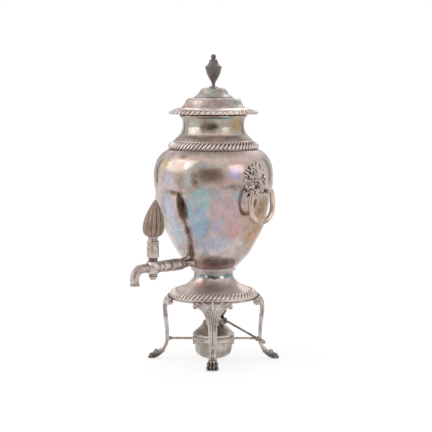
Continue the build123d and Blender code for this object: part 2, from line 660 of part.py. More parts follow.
def make_parts():
    """Every piece by its name."""
    parts = {
        "vessel_body": make_vessel_body(),
        "collar_gadroon": make_collar_gadroon(),
        "neck": make_neck(),
        "neck_rim_wire": make_neck_rim_wire(),
        "lid_flange": make_lid_flange(),
        "lid_dome": make_lid_dome(),
        "lid_bezel": make_lid_bezel(),
        "finial_foot": make_finial_foot(),
        "finial_urn": make_finial_urn(),
        "finial_cap": make_finial_cap(),
        "finial_ball": make_finial_ball(),
        "finial_stud": make_finial_stud(),
        "finial_nut": make_finial_nut(),
        "pedestal": make_pedestal(),
        "foot_gadroon": make_foot_gadroon(),
        "foot_rim": make_foot_rim(),
        "burner_ring": make_burner_ring(),
        "burner_pot": make_burner_pot(),
        "burner_top": make_burner_top(),
        "wick_tube": make_wick_tube(),
        "wick": make_wick(),
        "snuffer_bracket": make_snuffer_bracket(),
        "snuffer_pin": make_snuffer_pin(),
        "snuffer_lever": make_snuffer_lever(),
        "snuffer_cap": make_snuffer_cap(),
        "snuffer_knob": make_snuffer_knob(),
        "tap_root": make_tap_root(),
        "tap_barrel": make_tap_barrel(),
        "tap_valve_body": make_tap_valve_body(),
        "tap_spout": make_tap_spout(),
        "tap_spout_lip": make_tap_spout_lip(),
        "tap_plug": make_tap_plug(),
        "tap_washer": make_tap_washer(),
        "tap_nut": make_tap_nut(),
        "key_stem": make_key_stem(),
        "key_leaf": make_key_leaf(),
    }
    corners = {"front_right": -45, "back_right": 45, "back_left": 135, "front_left": 225}
    for corner, azimuth in corners.items():
        parts["leg_" + corner] = make_leg(azimuth)
        parts["stretcher_" + corner] = make_stretcher(azimuth)
    mask, handle = mask_at_right(), handle_at_right()
    for side, azimuth in (("right", 0), ("left", 180)):
        parts["lion_mask_" + side] = Rot(0, 0, azimuth) * mask
        parts["handle_" + side] = Rot(0, 0, azimuth) * handle
    return parts


os.makedirs("parts", exist_ok=True)
for name, shape in make_parts().items():
    export_step(shape, os.path.join("parts", name + ".step"))
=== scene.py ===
import logging
from contextlib import contextmanager
from dataclasses import dataclass, field
from enum import Enum
from functools import cached_property
from math import cos, hypot, pi, radians, sin, sqrt
from typing import Callable, Iterator, Optional, Sequence, Union

import bpy
from mathutils import Matrix, Vector


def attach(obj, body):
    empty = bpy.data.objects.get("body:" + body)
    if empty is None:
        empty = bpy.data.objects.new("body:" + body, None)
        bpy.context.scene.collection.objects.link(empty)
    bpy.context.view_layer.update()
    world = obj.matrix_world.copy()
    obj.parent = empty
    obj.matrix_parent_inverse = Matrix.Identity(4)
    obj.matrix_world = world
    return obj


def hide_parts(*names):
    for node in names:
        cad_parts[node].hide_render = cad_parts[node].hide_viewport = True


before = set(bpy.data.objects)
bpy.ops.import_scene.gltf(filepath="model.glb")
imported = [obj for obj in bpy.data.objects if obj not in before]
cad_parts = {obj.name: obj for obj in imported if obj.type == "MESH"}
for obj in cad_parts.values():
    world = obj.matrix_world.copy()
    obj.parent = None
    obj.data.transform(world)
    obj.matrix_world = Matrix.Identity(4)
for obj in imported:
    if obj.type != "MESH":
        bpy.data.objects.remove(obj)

Piece = bpy.types.Object
Point = tuple[float, float]
Place = tuple[float, float, float]
Colour = tuple[float, float, float]
Value = Union["Wire", float, int, tuple]

MM = 0.001
MERGE = 0.002 * MM
SHARP = 38.0
ROUND = 180.0
SIDES = (-1, 1)
BALL_FACES = 20
BLACK = (0.0, 0.0, 0.0)
WHITE = (1.0, 1.0, 1.0)
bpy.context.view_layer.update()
report = logging.getLogger("urn")


class Corner(Enum):
    """The four legs, whose values are the angles from +X to them in degrees."""

    FRONT_RIGHT = -45.0
    BACK_RIGHT = 45.0
    BACK_LEFT = 135.0
    FRONT_LEFT = 225.0


class Side(Enum):
    """The two lion masks, whose values are the angles from +X to them in degrees."""

    RIGHT = 0.0
    LEFT = 180.0


def paint(red: int, green: int, blue: int) -> Colour:
    """Turns a colour as the eye sees it into the shader's linear numbers.

    Args:
        red: How red it is, from 0 to 255.
        green: How green it is, from 0 to 255.
        blue: How blue it is, from 0 to 255.

    Returns:
        The linear colour.
    """
    return tuple(
        c / 12.92 if c <= 0.04045 else ((c + 0.055) / 1.055) ** 2.4
        for c in (red / 255, green / 255, blue / 255)
    )


def swept_line(points: Sequence[Point], steps: int = 5) -> list[Point]:
    """A smooth line through a few points of a turned outline.

    Args:
        points: The (radius, height) pairs that the line goes through.
        steps: How many pieces each stretch between two points is cut into.

    Returns:
        The points of the smooth line, with both ends.
    """
    line: list[Point] = []
    for i in range(len(points) - 1):
        before, start = points[max(i - 1, 0)], points[i]
        end, after = points[i + 1], points[min(i + 2, len(points) - 1)]
        for k in range(steps):
            t = k / steps
            line.append(tuple(
                0.5 * (2 * start[n] + (end[n] - before[n]) * t
                       + (2 * before[n] - 5 * start[n] + 4 * end[n] - after[n]) * t ** 2
                       + (3 * start[n] - before[n] - 3 * end[n] + after[n]) * t ** 3)
                for n in (0, 1)
            ))
    return line + [points[-1]]


def inside_line(points: Sequence[Point], wall: float) -> list[Point]:
    """The line of a sheet's inner face.

    Args:
        points: The outer face as (radius, height) pairs, from below upwards.
        wall: How thick the sheet is.

    Returns:
        The inner face from above downwards, ending level with the outer one.
    """
    moved: list[Point] = []
    for i, (radius, height) in enumerate(points):
        before, after = points[max(i - 1, 0)], points[min(i + 1, len(points) - 1)]
        run, rise = after[0] - before[0], after[1] - before[1]
        size = hypot(run, rise)
        moved.append((radius - wall * rise / size, height + wall * run / size))
    moved[0] = (moved[0][0], points[0][1])
    moved[-1] = (moved[-1][0], points[-1][1])
    return moved[::-1]


def seen_from_front(sideways: float, height: float, radius: float) -> Place:
    """A place on the side of the urn between the tap and the right mask.

    Args:
        sideways: How far to the right of the urn's axis it is, in millimetres.
        height: Its height in millimetres.
        radius: The urn's radius at that height.

    Returns:
        The place in metres.
    """
    depth = sqrt(max(radius ** 2 - sideways ** 2, 0.0))
    return (
        (sideways + depth) / sqrt(2) * MM, (sideways - depth) / sqrt(2) * MM, height * MM,
    )


class Bench:
    """The modelling steps that all pieces share, in millimetres."""

    @staticmethod
    def clear() -> None:
        """Leaves nothing selected."""
        bpy.ops.object.select_all(action="DESELECT")

    @staticmethod
    def pick(*pieces: Piece) -> Piece:
        """Selects some pieces and nothing else.

        Args:
            *pieces: The pieces, with the one to work on first.

        Returns:
            The first piece, which is active now.
        """
        Bench.clear()
        for piece in pieces:
            piece.select_set(True)
        bpy.context.view_layer.objects.active = pieces[0]
        return pieces[0]

    @staticmethod
    def added(name: str) -> Piece:
        """Names the primitive that was just added.

        Args:
            name: Its name.

        Returns:
            The primitive.
        """
        piece = bpy.context.object
        piece.name = piece.data.name = name
        return piece

    @staticmethod
    @contextmanager
    def editing(piece: Piece) -> Iterator[None]:
        """Opens a piece in edit mode with all of it selected, and closes it afterwards.

        Args:
            piece: The piece to edit.
        """
        Bench.pick(piece)
        bpy.ops.object.mode_set(mode="EDIT")
        bpy.ops.mesh.select_all(action="SELECT")
        yield
        bpy.ops.object.mode_set(mode="OBJECT")

    @staticmethod
    def choose(piece: Piece, wanted: Callable[[int, Vector], bool]) -> None:
        """Selects some corners of the piece that is open in edit mode.

        Args:
            piece: The piece.
            wanted: Says by a corner's number and place whether it is selected.
        """
        bpy.ops.mesh.select_mode(type="VERT")
        bpy.ops.mesh.select_all(action="DESELECT")
        bpy.ops.object.mode_set(mode="OBJECT")
        for i, corner in enumerate(piece.data.vertices):
            corner.select = wanted(i, corner.co)
        bpy.ops.object.mode_set(mode="EDIT")

    @staticmethod
    def settle(piece: Piece) -> Piece:
        """Puts a piece's place, turn and scale into its mesh.

        Args:
            piece: The piece to settle.

        Returns:
            The same piece.
        """
        Bench.pick(piece)
        bpy.ops.object.transform_apply(location=True, rotation=True, scale=True)
        return piece

    @staticmethod
    def modify(piece: Piece, kind: str, **settings: object) -> Piece:
        """Adds a modifier and applies it.

        Args:
            piece: The piece to change.
            kind: The modifier's type.
            **settings: The values to set on the modifier.

        Returns:
            The same piece.
        """
        Bench.pick(piece)
        bpy.ops.object.modifier_add(type=kind)
        modifier = piece.modifiers[-1]
        for key, value in settings.items():
            setattr(modifier, key, value)
        bpy.ops.object.modifier_apply(modifier=modifier.name)
        return piece

    @staticmethod
    def smooth(piece: Piece, sharp: float = SHARP) -> Piece:
        """Shades a piece smooth, but for its sharp edges.

        Args:
            piece: The piece to shade.
            sharp: The angle between two faces past which their edge stays sharp, in degrees.

        Returns:
            The same piece.
        """
        Bench.pick(piece)
        bpy.ops.object.shade_smooth_by_angle(angle=radians(sharp))
        return piece

    @staticmethod
    def close_up(piece: Piece) -> Piece:
        """Merges doubled corners and turns every face outwards.

        Args:
            piece: The piece to close.

        Returns:
            The same piece.
        """
        with Bench.editing(piece):
            bpy.ops.mesh.remove_doubles(threshold=MERGE)
            bpy.ops.mesh.normals_make_consistent(inside=False)
        return piece

    @staticmethod
    def trimmed(piece: Piece, point: Place, normal: Place, outer: bool) -> Piece:
        """Cuts a piece off at a plane and closes the cut.

        Args:
            piece: The piece to cut.
            point: A point of the plane, in metres.
            normal: The direction that the plane faces.
            outer: Whether the part on that side goes, or else the part behind the plane.

        Returns:
            The same piece.
        """
        with Bench.editing(piece):
            bpy.ops.mesh.bisect(plane_co=point, plane_no=normal, use_fill=True,
                                clear_outer=outer, clear_inner=not outer)
        return piece

    @staticmethod
    def turned(
        name: str, outline: Sequence[Point], steps: int = 120, centre: Place = (0, 0, 0),
        axis: Place = (0, 0, 1), sharp: float = SHARP,
    ) -> Piece:
        """Spins an outline into a closed solid, as on a lathe.

        Args:
            name: The new piece's name.
            outline: (radius, distance along the axis) pairs of a closed outline. A ring's
                outline ends where it starts, and a solid's starts and ends on the axis.
            steps: How many faces there are round the piece.
            centre: Where distances along the axis are counted from, in millimetres.
            axis: The direction of the axis.
            sharp: The angle past which an edge stays sharp.

        Returns:
            The turned piece.
        """
        along = Vector(axis).normalized()
        across = along.orthogonal().normalized() if abs(along.z) < 0.999 else Vector((1, 0, 0))
        origin = Vector(centre) * MM
        places = [origin + across * radius * MM + along * far * MM for radius, far in outline]
        Bench.clear()
        bpy.ops.mesh.primitive_plane_add(size=MM)
        piece = Bench.added(name)
        with Bench.editing(piece):
            bpy.ops.mesh.select_mode(type="VERT")
            bpy.ops.mesh.merge(type="CENTER")
            bpy.ops.transform.translate(value=places[0])
            for here, there in zip(places, places[1:]):
                bpy.ops.mesh.extrude_region_move(TRANSFORM_OT_translate={"value": there - here})
            bpy.ops.mesh.select_all(action="SELECT")
            bpy.ops.mesh.spin(steps=steps, angle=2 * pi, center=origin, axis=along)
        return Bench.smooth(Bench.close_up(piece), sharp)

    @staticmethod
    def ball(place: Place, size: Place) -> Piece:
        """An egg-shaped lump.

        Args:
            place: Its middle.
            size: Its three half-widths.

        Returns:
            The lump.
        """
        Bench.clear()
        bpy.ops.mesh.primitive_uv_sphere_add(
            segments=BALL_FACES, ring_count=BALL_FACES // 2 + 2, radius=MM,
            location=Vector(place) * MM, scale=size,
        )
        return Bench.settle(Bench.added("lump"))

    @staticmethod
    def limb(
        points: Sequence[tuple[float, float, float, float]], resolution: int = 5,
        order: int = 4, rounding: int = 2,
    ) -> Piece:
        """A round bar along a smooth line, thicker and thinner as it goes.

        Args:
            points: The line's (x, y, z, radius) points.
            resolution: How finely the line is cut.
            order: The order of the smooth line.
            rounding: How finely the bar is rounded.

        Returns:
            The bar as a closed mesh.
        """
        Bench.clear()
        bpy.ops.curve.primitive_nurbs_path_add()
        piece = Bench.added("limb")
        curve = piece.data
        curve.splines.clear()
        spline = curve.splines.new("NURBS")
        spline.points.add(len(points) - 1)
        for point, (x, y, z, radius) in zip(spline.points, points):
            point.co = (x * MM, y * MM, z * MM, 1.0)
            point.radius = radius
        spline.order_u = min(order, len(points))
        spline.use_endpoint_u = True
        curve.resolution_u = resolution
        curve.bevel_depth = MM
        curve.bevel_resolution = rounding
        curve.use_fill_caps = True
        Bench.pick(piece)
        bpy.ops.object.convert(target="MESH")
        return Bench.close_up(Bench.settle(piece))

    @staticmethod
    def block(low: Place, high: Place, bevel: float) -> Piece:
        """A block with rounded edges.

        Args:
            low: Its lowest corner.
            high: Its highest corner.
            bevel: How wide its rounded edges are.

        Returns:
            The block.
        """
        Bench.clear()
        bpy.ops.mesh.primitive_cube_add(
            size=MM, location=(Vector(low) + Vector(high)) * 0.5 * MM,
            scale=Vector(high) - Vector(low),
        )
        piece = Bench.settle(Bench.added("block"))
        return Bench.modify(piece, "BEVEL", width=bevel * MM, segments=3)

    @staticmethod
    def moved(piece: Piece, matrix: Matrix) -> Piece:
        """Moves a piece's mesh, and leaves its object at the origin."""
        piece.matrix_world = matrix @ piece.matrix_world
        return Bench.settle(piece)

    @staticmethod
    def joined(name: str, pieces: Sequence[Piece]) -> Piece:
        """Joins pieces into one mesh.

        Args:
            name: The joined piece's name.
            pieces: The pieces, of which the first is kept.

        Returns:
            The joined piece.
        """
        piece = Bench.pick(*pieces)
        if len(pieces) > 1:
            bpy.ops.object.join()
        piece.name = piece.data.name = name
        return piece

    @staticmethod
    def copies(name: str, model: Piece, places: Sequence[Matrix]) -> Piece:
        """Copies a model to each place, each copy with its own mesh, and joins them.

        Args:
            name: The joined piece's name.
            model: The piece to copy, which isn't kept.
            places: Where the copies go.

        Returns:
            The joined copies.
        """
        made = [Bench.twin(name, model, place) for place in places]
        bpy.data.objects.remove(model)
        return Bench.joined(name, made)

    @staticmethod
    def twin(name: str, model: Piece, place: Matrix) -> Piece:
        """Copies a piece with its mesh, and moves the copy.

        Args:
            name: The copy's name.
            model: The piece to copy, which is kept.
            place: The move from the piece to its copy.

        Returns:
            The copy.
        """
        copy = model.copy()
        copy.data = model.data.copy()
        copy.name = copy.data.name = name
        bpy.context.collection.objects.link(copy)
        copy.data.transform(place)
        return copy

    @staticmethod
    def fused(name: str, pieces: Sequence[Piece], voxel: float) -> Piece:
        """Melts pieces into one skin, as a casting.

        Args:
            name: The casting's name.
            pieces: The closed pieces that overlap.
            voxel: The size of the new skin's faces.

        Returns:
            The casting.
        """
        piece = Bench.joined(name, pieces)
        Bench.modify(piece, "REMESH", mode="VOXEL", voxel_size=voxel * MM)
        Bench.modify(piece, "SMOOTH", factor=0.5, iterations=1)
        return Bench.smooth(piece, ROUND)

    @staticmethod
    def from_solid(node: str, name: str) -> Piece:
        """A smooth copy of a solid of the frame, with its corners merged.

        Args:
            node: The solid's name.
            name: The copy's name.

        Returns:
            The copy.
        """
        piece = bpy.data.objects.new(name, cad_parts[node].data.copy())
        bpy.context.collection.objects.link(piece)
        with Bench.editing(piece):
            bpy.ops.mesh.remove_doubles(threshold=MERGE)
        return Bench.smooth(piece)

    @staticmethod
    def dressed(
        node: str, name: str, body: str, slot: str, material: bpy.types.Material
    ) -> Piece:
        """Smooths a solid of the frame and finishes it as it is.

        Args:
            node: The solid's name.
            name: The new piece's name.
            body: The body that it moves with.
            slot: The record's material slot.
            material: Its finish.

        Returns:
            The piece.
        """
        return Bench.finish(Bench.from_solid(node, name), body, slot, material, node)

    @staticmethod
    def finish(
        piece: Piece, body: str, slot: str, material: bpy.types.Material, *nodes: str
    ) -> Piece:
        """Gives a piece its finish and says what it rides on and stands for.

        Args:
            piece: The finished mesh.
            body: The body that it moves with.
            slot: The record's material slot; not used.
            material: Its finish.
            *nodes: The solids that it stands for.

        Returns:
            The same piece.
        """
        piece.data.materials.clear()
        piece.data.materials.append(material)
        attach(piece, body)
        if nodes:
            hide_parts(*nodes)
        report.info("%s rides on %s, %d faces", piece.name, body, len(piece.data.polygons))
        return piece


class Wire:
    """The output of a node, which can be added, subtracted and multiplied."""

    def __init__(self, shader: "Shader", socket: bpy.types.NodeSocket) -> None:
        """Keeps the output and the shader that its node is in."""
        self.shader = shader
        self.socket = socket

    def out(self, name: Union[str, int]) -> "Wire":
        """Another output of the same node."""
        return Wire(self.shader, self.socket.node.outputs[name])

    def sum_of(self, operation: str, first: Value, second: Value) -> "Wire":
        """Joins two values with a Math node."""
        return self.shader.node("ShaderNodeMath", {"operation": operation}, {0: first, 1: second})

    def __add__(self, other: Value) -> "Wire":
        """self + other"""
        return self.sum_of("ADD", self, other)

    def __radd__(self, other: Value) -> "Wire":
        """other + self"""
        return self.sum_of("ADD", other, self)

    def __sub__(self, other: Value) -> "Wire":
        """self - other"""
        return self.sum_of("SUBTRACT", self, other)

    def __rsub__(self, other: Value) -> "Wire":
        """other - self"""
        return self.sum_of("SUBTRACT", other, self)

    def __mul__(self, other: Value) -> "Wire":
        """self * other"""
        return self.sum_of("MULTIPLY", self, other)

    def __rmul__(self, other: Value) -> "Wire":
        """other * self"""
        return self.sum_of("MULTIPLY", other, self)

    def between(self, low: float, high: float) -> "Wire":
        """An eased step.

        Args:
            low: The value up to which the step is 0.
            high: The value from which the step is 1.

        Returns:
            The step.
        """
        return self.shader.node(
            "ShaderNodeMapRange", {"interpolation_type": "SMOOTHSTEP"},
            {"Value": self, "From Min": low, "From Max": high},
        )

    def kept(self) -> "Wire":
        """The value kept from 0 to 1."""
        settings = {"operation": "ADD", "use_clamp": True}
        return self.shader.node("ShaderNodeMath", settings, {0: self, 1: 0.0})


class Shader:
    """One material, or the world, under construction."""

    def __init__(self, owner: Union[bpy.types.Material, bpy.types.World]) -> None:
        """Empties the nodes of a material or a world.

        Args:
            owner: The new material or world.
        """
        self.owner = owner
        owner.use_nodes = True
        self.tree = owner.node_tree
        self.tree.nodes.clear()

    @classmethod
    def named(cls, name: str) -> "Shader":
        """Starts a new material."""
        return cls(bpy.data.materials.new(name))

    @cached_property
    def coords(self) -> Wire:
        """The object's own coordinates."""
        return self.node("ShaderNodeTexCoord", {}, {}).out("Object")

    @cached_property
    def height(self) -> Wire:
        """The height above the floor, in metres."""
        return self.node("ShaderNodeSeparateXYZ", {}, {0: self.coords}).out("Z")

    @cached_property
    def bend(self) -> Wire:
        """How sharply the surface bends: under 0.5 in a groove and over 0.5 on an edge."""
        return self.node("ShaderNodeNewGeometry", {}, {}).out("Pointiness")

    def node(
        self, kind: str, settings: dict[str, object], sockets: dict[Union[str, int], Value]
    ) -> Wire:
        """Adds any node.

        Args:
            kind: The node's type.
            settings: Its own settings, which are set first.
            sockets: The values or wires of its inputs, by name or number.

        Returns:
            Its first output.
        """
        made = self.tree.nodes.new(kind)
        for key, value in settings.items():
            setattr(made, key, value)
        for key, value in sockets.items():
            socket = made.inputs[key]
            if isinstance(value, Wire):
                self.tree.links.new(value.socket, socket)
            elif isinstance(value, tuple) and len(value) == 3 and socket.type == "RGBA":
                socket.default_value = (*value, 1.0)
            else:
                socket.default_value = value
        return Wire(self, made.outputs[0] if made.outputs else None)

    def mix(self, first: Value, second: Value, share: Value) -> Wire:
        """Mixes two colours.

        Args:
            first: The colour at a share of 0.
            second: The colour at a share of 1.
            share: How much of the second there is.

        Returns:
            The mixed colour.
        """
        return self.node(
            "ShaderNodeMix", {"data_type": "RGBA"}, {0: share, 6: first, 7: second}
        ).out(2)

    def noise(
        self, scale: float, detail: float = 3.0, rough: float = 0.55,
        place: Optional[Wire] = None, distortion: float = 0.0,
    ) -> Wire:
        """A cloudy pattern.

        Args:
            scale: How many clouds there are in a metre, roughly.
            detail: How many finer patterns lie over the first.
            rough: How strong the finer patterns are.
            place: The coordinates, where they aren't the object's own.
            distortion: How far the pattern is pulled about.

        Returns:
            The pattern, from 0 to 1.
        """
        return self.node(
            "ShaderNodeTexNoise", {},
            {"Vector": place or self.coords, "Scale": scale, "Detail": detail,
             "Roughness": rough, "Distortion": distortion},
        )

    def vector(self, operation: str, first: Value, second: Value) -> Wire:
        """One Vector Math node."""
        return self.node("ShaderNodeVectorMath", {"operation": operation}, {0: first, 1: second})

    def wandering(self, place: Wire, scale: float, far: float) -> Wire:
        """Coordinates moved about by a cloudy pattern, so that edges are ragged.

        Args:
            place: The coordinates.
            scale: The pattern's scale.
            far: How far they are moved at most, in metres.

        Returns:
            The moved coordinates.
        """
        cloud = self.noise(scale, 3.0, place=place).out("Color")
        shift = self.vector("MULTIPLY", self.vector("SUBTRACT", cloud, (0.5, 0.5, 0.5)),
                            (far, far, far))
        return self.vector("ADD", place, shift)

    def blot(self, place: Place, size: Place, ragged: Wire, edge: float = 0.55) -> Wire:
        """A soft round patch.

        Args:
            place: Its middle in metres.
            size: Its half-widths in millimetres.
            ragged: The coordinates that it is drawn on.
            edge: The share of its half-width at which it starts to fade.

        Returns:
            1 inside the patch and 0 outside.
        """
        shrink = tuple(1000.0 / s for s in size)
        here = self.vector("MULTIPLY", ragged, shrink)
        there = tuple(p * s for p, s in zip(place, shrink))
        far = self.vector("DISTANCE", here, there).out("Value")
        return 1 - far.between(edge, 1.15)

    def sunk(self, reach: float) -> Wire:
        """How much a place is hidden by its neighbours, from 0 in the open to 1 in a gap, by
        ambient occlusion; it drives painted shade.

        Args:
            reach: How far away a neighbour counts, in millimetres.

        Returns:
            The depth.
        """
        clear = self.node("ShaderNodeAmbientOcclusion", {"samples": 6}, {"Distance": reach * MM})
        return 1 - clear.out("AO").between(0.38, 0.90)

    def surface(
        self, colour: Wire, rough: Value, relief: Wire, strength: float, deep: float,
        others: dict[str, Value],
    ) -> bpy.types.Material:
        """Closes the material with its main shader.

        Args:
            colour: The colour.
            rough: The roughness.
            relief: The pattern whose heights bend the light.
            strength: How strong that relief is.
            deep: How deep that relief is, in millimetres.
            others: The values of the shader's other inputs, by name.

        Returns:
            The finished material.
        """
        lift = self.node(
            "ShaderNodeBump", {}, {"Strength": strength, "Distance": deep * MM, "Height": relief})
        sockets = {"Base Color": colour, "Roughness": rough, "Normal": lift, **others}
        return self.close(self.node("ShaderNodeBsdfPrincipled", {}, sockets))

    def close(self, surface: Wire) -> bpy.types.Material:
        """Wires a surface to the material's output, and returns the material."""
        self.node("ShaderNodeOutputMaterial", {}, {"Surface": surface})
        return self.owner


@dataclass(frozen=True)
class Patch:
    """One patch of tarnish colour or of painted reflection or painted highlight, or one dulled
    place where the colour counts for nothing.
    """

    place: Place
    size: Place
    colour: Colour = BLACK
    strength: float = 0.8
    edge: float = 0.3


@dataclass(frozen=True)
class OldSilver:
    """Silver plate that has tarnished unevenly, with painted reflections and painted highlights
    among its patches, and painted shade in its hollows and, on the legs, near the floor.
    """

    name: str
    bright: Colour
    dull: Colour
    # The dark colour of specks of dirt, which is also the colour of the painted shade in hollows
    # and near the floor.
    grime_and_shade: Colour = (0.030, 0.022, 0.017)
    cloud: float = 26.0
    gloss: float = 0.16
    rougher: float = 0.16
    # How strong the tarnish and painted shade in grooves and gaps are.
    hollow_grime_and_shade: float = 0.0
    worn: float = 0.0
    # How strong the painted shade near the floor is, and the height in millimetres below which it
    # lies.
    low_painted_shade: float = 0.0
    low_painted_shade_below: float = 13.0
    reach: float = 2.2
    tint: float = 0.0
    speckle: float = 0.35
    grain: float = 0.04
    # Patches of tarnish colour, and of painted reflection and painted highlight.
    patches: tuple[Patch, ...] = ()
    matt: tuple[Patch, ...] = ()

    def patched_with_tarnish_and_reflections(self, s: Shader, colour: Wire) -> Wire:
        """Lays the patches over the silver, with ragged and broken edges: tarnish colours, and
        painted reflections and painted highlights.

        Args:
            s: The material.
            colour: The colour so far.

        Returns:
            The colour with the patches.
        """
        ragged = s.wandering(s.wandering(s.coords, 40.0, 0.012), 190.0, 0.006)
        broken = (s.noise(85.0, 6.0, 0.8).between(0.38, 0.60) * 0.6
                  + s.noise(260.0, 4.0, 0.8).between(0.36, 0.62) * 0.4)
        for patch in self.patches:
            there = s.blot(patch.place, patch.size, ragged, patch.edge)
            share = (there * (broken * 0.85 + 0.35) * patch.strength).kept()
            colour = s.mix(colour, patch.colour, share)
        return colour

    def tinted(self, s: Shader, colour: Wire) -> Wire:
        """Breaks the colour up into small cool, warm, pale and dark places.

        Args:
            s: The material.
            colour: The colour so far.

        Returns:
            The mottled colour.
        """
        cool = s.noise(105.0, 5.0, 0.72).between(0.50, 0.68)
        warm = s.noise(125.0, 5.0, 0.72, distortion=0.4).between(0.52, 0.68)
        pale = s.noise(150.0, 5.0, 0.75, distortion=0.3).between(0.56, 0.70)
        shade = s.noise(80.0, 6.0, 0.82, distortion=0.5).between(0.34, 0.62)
        colour = s.mix(colour, COOL_TARNISH, cool * self.tint)
        colour = s.mix(colour, WARM_TARNISH, warm * self.tint)
        colour = s.mix(colour, self.bright, pale * self.tint)
        return s.mix(colour, BLACK, (1 - shade) * self.tint * 0.48)

    def aged(self, s: Shader, colour: Wire, clouds: Wire, fine: Wire) -> Wire:
        """Darkens the hollows with tarnish and painted shade, darkens the parts near the floor with
        painted shade, and rubs the high places bright.

        Args:
            s: The material.
            colour: The colour so far.
            clouds: The large pattern of the tarnish.
            fine: The fine pattern of the grain.

        Returns:
            The aged colour.
        """
        if self.hollow_grime_and_shade:
            # Painted shade: grooves found by pointiness and gaps found by ambient occlusion, also
            # between parts, are darkened; in the grooves it is partly tarnish.
            deep = (1 - s.bend.between(0.425, 0.497)) * 0.6 + s.sunk(self.reach)
            colour = s.mix(colour, self.grime_and_shade, (deep * (fine * 0.5 + 0.75) * self.hollow_grime_and_shade).kept())
        # Painted shade: the parts below about that height are darkened.
        if self.low_painted_shade:
            low = 1 - (s.height + clouds * 0.006).between(
                (self.low_painted_shade_below - 3) * MM, (self.low_painted_shade_below + 9) * MM)
            colour = s.mix(colour, self.grime_and_shade, low * (fine * 0.6 + 0.6) * self.low_painted_shade)
        if self.worn:
            colour = s.mix(colour, self.bright, (s.bend.between(0.505, 0.56) * self.worn).kept())
        return colour

    def make(self) -> bpy.types.Material:
        """Builds the material.

        Returns:
            The finished material.
        """
        s = Shader.named(self.name)
        clouds = s.noise(self.cloud, 5.0, 0.6, distortion=0.6)
        colour_patch = clouds.between(0.36, 0.66)
        colour = s.mix(self.bright, self.dull, colour_patch)
        if self.patches:
            colour = self.patched_with_tarnish_and_reflections(s, colour)
        if self.tint:
            colour = self.tinted(s, colour)
        specks = s.noise(420.0, 3.0, 0.7).between(0.56, 0.74)
        colour = s.mix(colour, self.grime_and_shade, specks * self.speckle)
        fine = s.noise(150.0, 4.0, 0.7)
        colour = s.mix(colour, BLACK, (fine - 0.42).kept() * 0.35)
        colour = self.aged(s, colour, clouds, fine)
        rough = colour_patch * self.rougher + self.gloss + specks * 0.12
        for patch in self.matt:
            rough = rough + s.blot(patch.place, patch.size, s.coords, patch.edge) * patch.strength
        return s.surface(colour, rough, fine, self.grain, 0.6, {"Metallic": 1.0})


@dataclass(frozen=True)
class StainedWood:
    """Close-grained hardwood, turned or carved, dyed and rubbed with wax."""

    name: str
    light: Colour
    dark: Colour
    shine: float = 0.32
    # How strong the dirt and painted shade in grooves and gaps are.
    hollow_grime_and_shade: float = 0.5
    lines: float = 900.0

    def make(self) -> bpy.types.Material:
        """Builds the material.

        Returns:
            The finished material.
        """
        s = Shader.named(self.name)
        along = s.vector("MULTIPLY", s.coords, (1.0, 1.0, 0.10))
        grain = s.noise(self.lines, 4.0, 0.65, place=along)
        clouds = s.noise(60.0, 3.0)
        colour = s.mix(self.light, self.dark, grain.between(0.35, 0.68))
        colour = s.mix(colour, self.dark, clouds.between(0.45, 0.75) * 0.6)
        # Painted shade: grooves found by pointiness and gaps found by ambient occlusion are
        # darkened; in the grooves it is partly dirt.
        deep = (1 - s.bend.between(0.44, 0.498)) * 0.6 + s.sunk(2.0) * 0.8
        colour = s.mix(colour, tuple(c * 0.25 for c in self.dark), (deep * self.hollow_grime_and_shade).kept())
        colour = s.mix(colour, self.light, s.bend.between(0.51, 0.57) * 0.5)
        return s.surface(colour, grain * 0.15 + self.shine, grain, 0.12, 0.3,
                         {"Coat Weight": 0.35, "Coat Roughness": 0.22})


@dataclass(frozen=True)
class CottonWick:
    """Woven cotton, scorched at its end."""

    name: str = "wick cotton"
    thread: Colour = (0.74, 0.69, 0.58)
    gap: Colour = (0.52, 0.45, 0.33)
    char: Colour = (0.02, 0.017, 0.014)
    scorched_above: float = 61.0

    def make(self) -> bpy.types.Material:
        """Builds the material.

        Returns:
            The finished material.
        """
        s = Shader.named(self.name)
        weave = s.noise(1500.0, 2.0)
        burnt = (s.height + weave * 0.001).between(
            (self.scorched_above - 0.5) * MM, (self.scorched_above + 2.0) * MM)
        colour = s.mix(s.mix(self.gap, self.thread, weave), self.char, burnt)
        return s.surface(colour, 0.95, weave, 0.7, 0.4, {})


def colour_patch(
    seen: Place, size: Place, colour: tuple[int, int, int], strength: float, edge: float
) -> Patch:
    """A patch on the side between the tap and the right mask, of tarnish colour or of painted
    reflection or painted highlight.

    Args:
        seen: How far to the right and how high its middle is, and the radius there.
        size: Its half-widths in millimetres.
        colour: Its colour as the eye sees it, from 0 to 255.
        strength: How strong it is.
        edge: The share of its half-width at which it starts to fade.

    Returns:
        The patch.
    """
    return Patch(seen_from_front(*seen), size, paint(*colour), strength, edge)


COOL_TARNISH = paint(142, 180, 190)
WARM_TARNISH = paint(206, 148, 152)
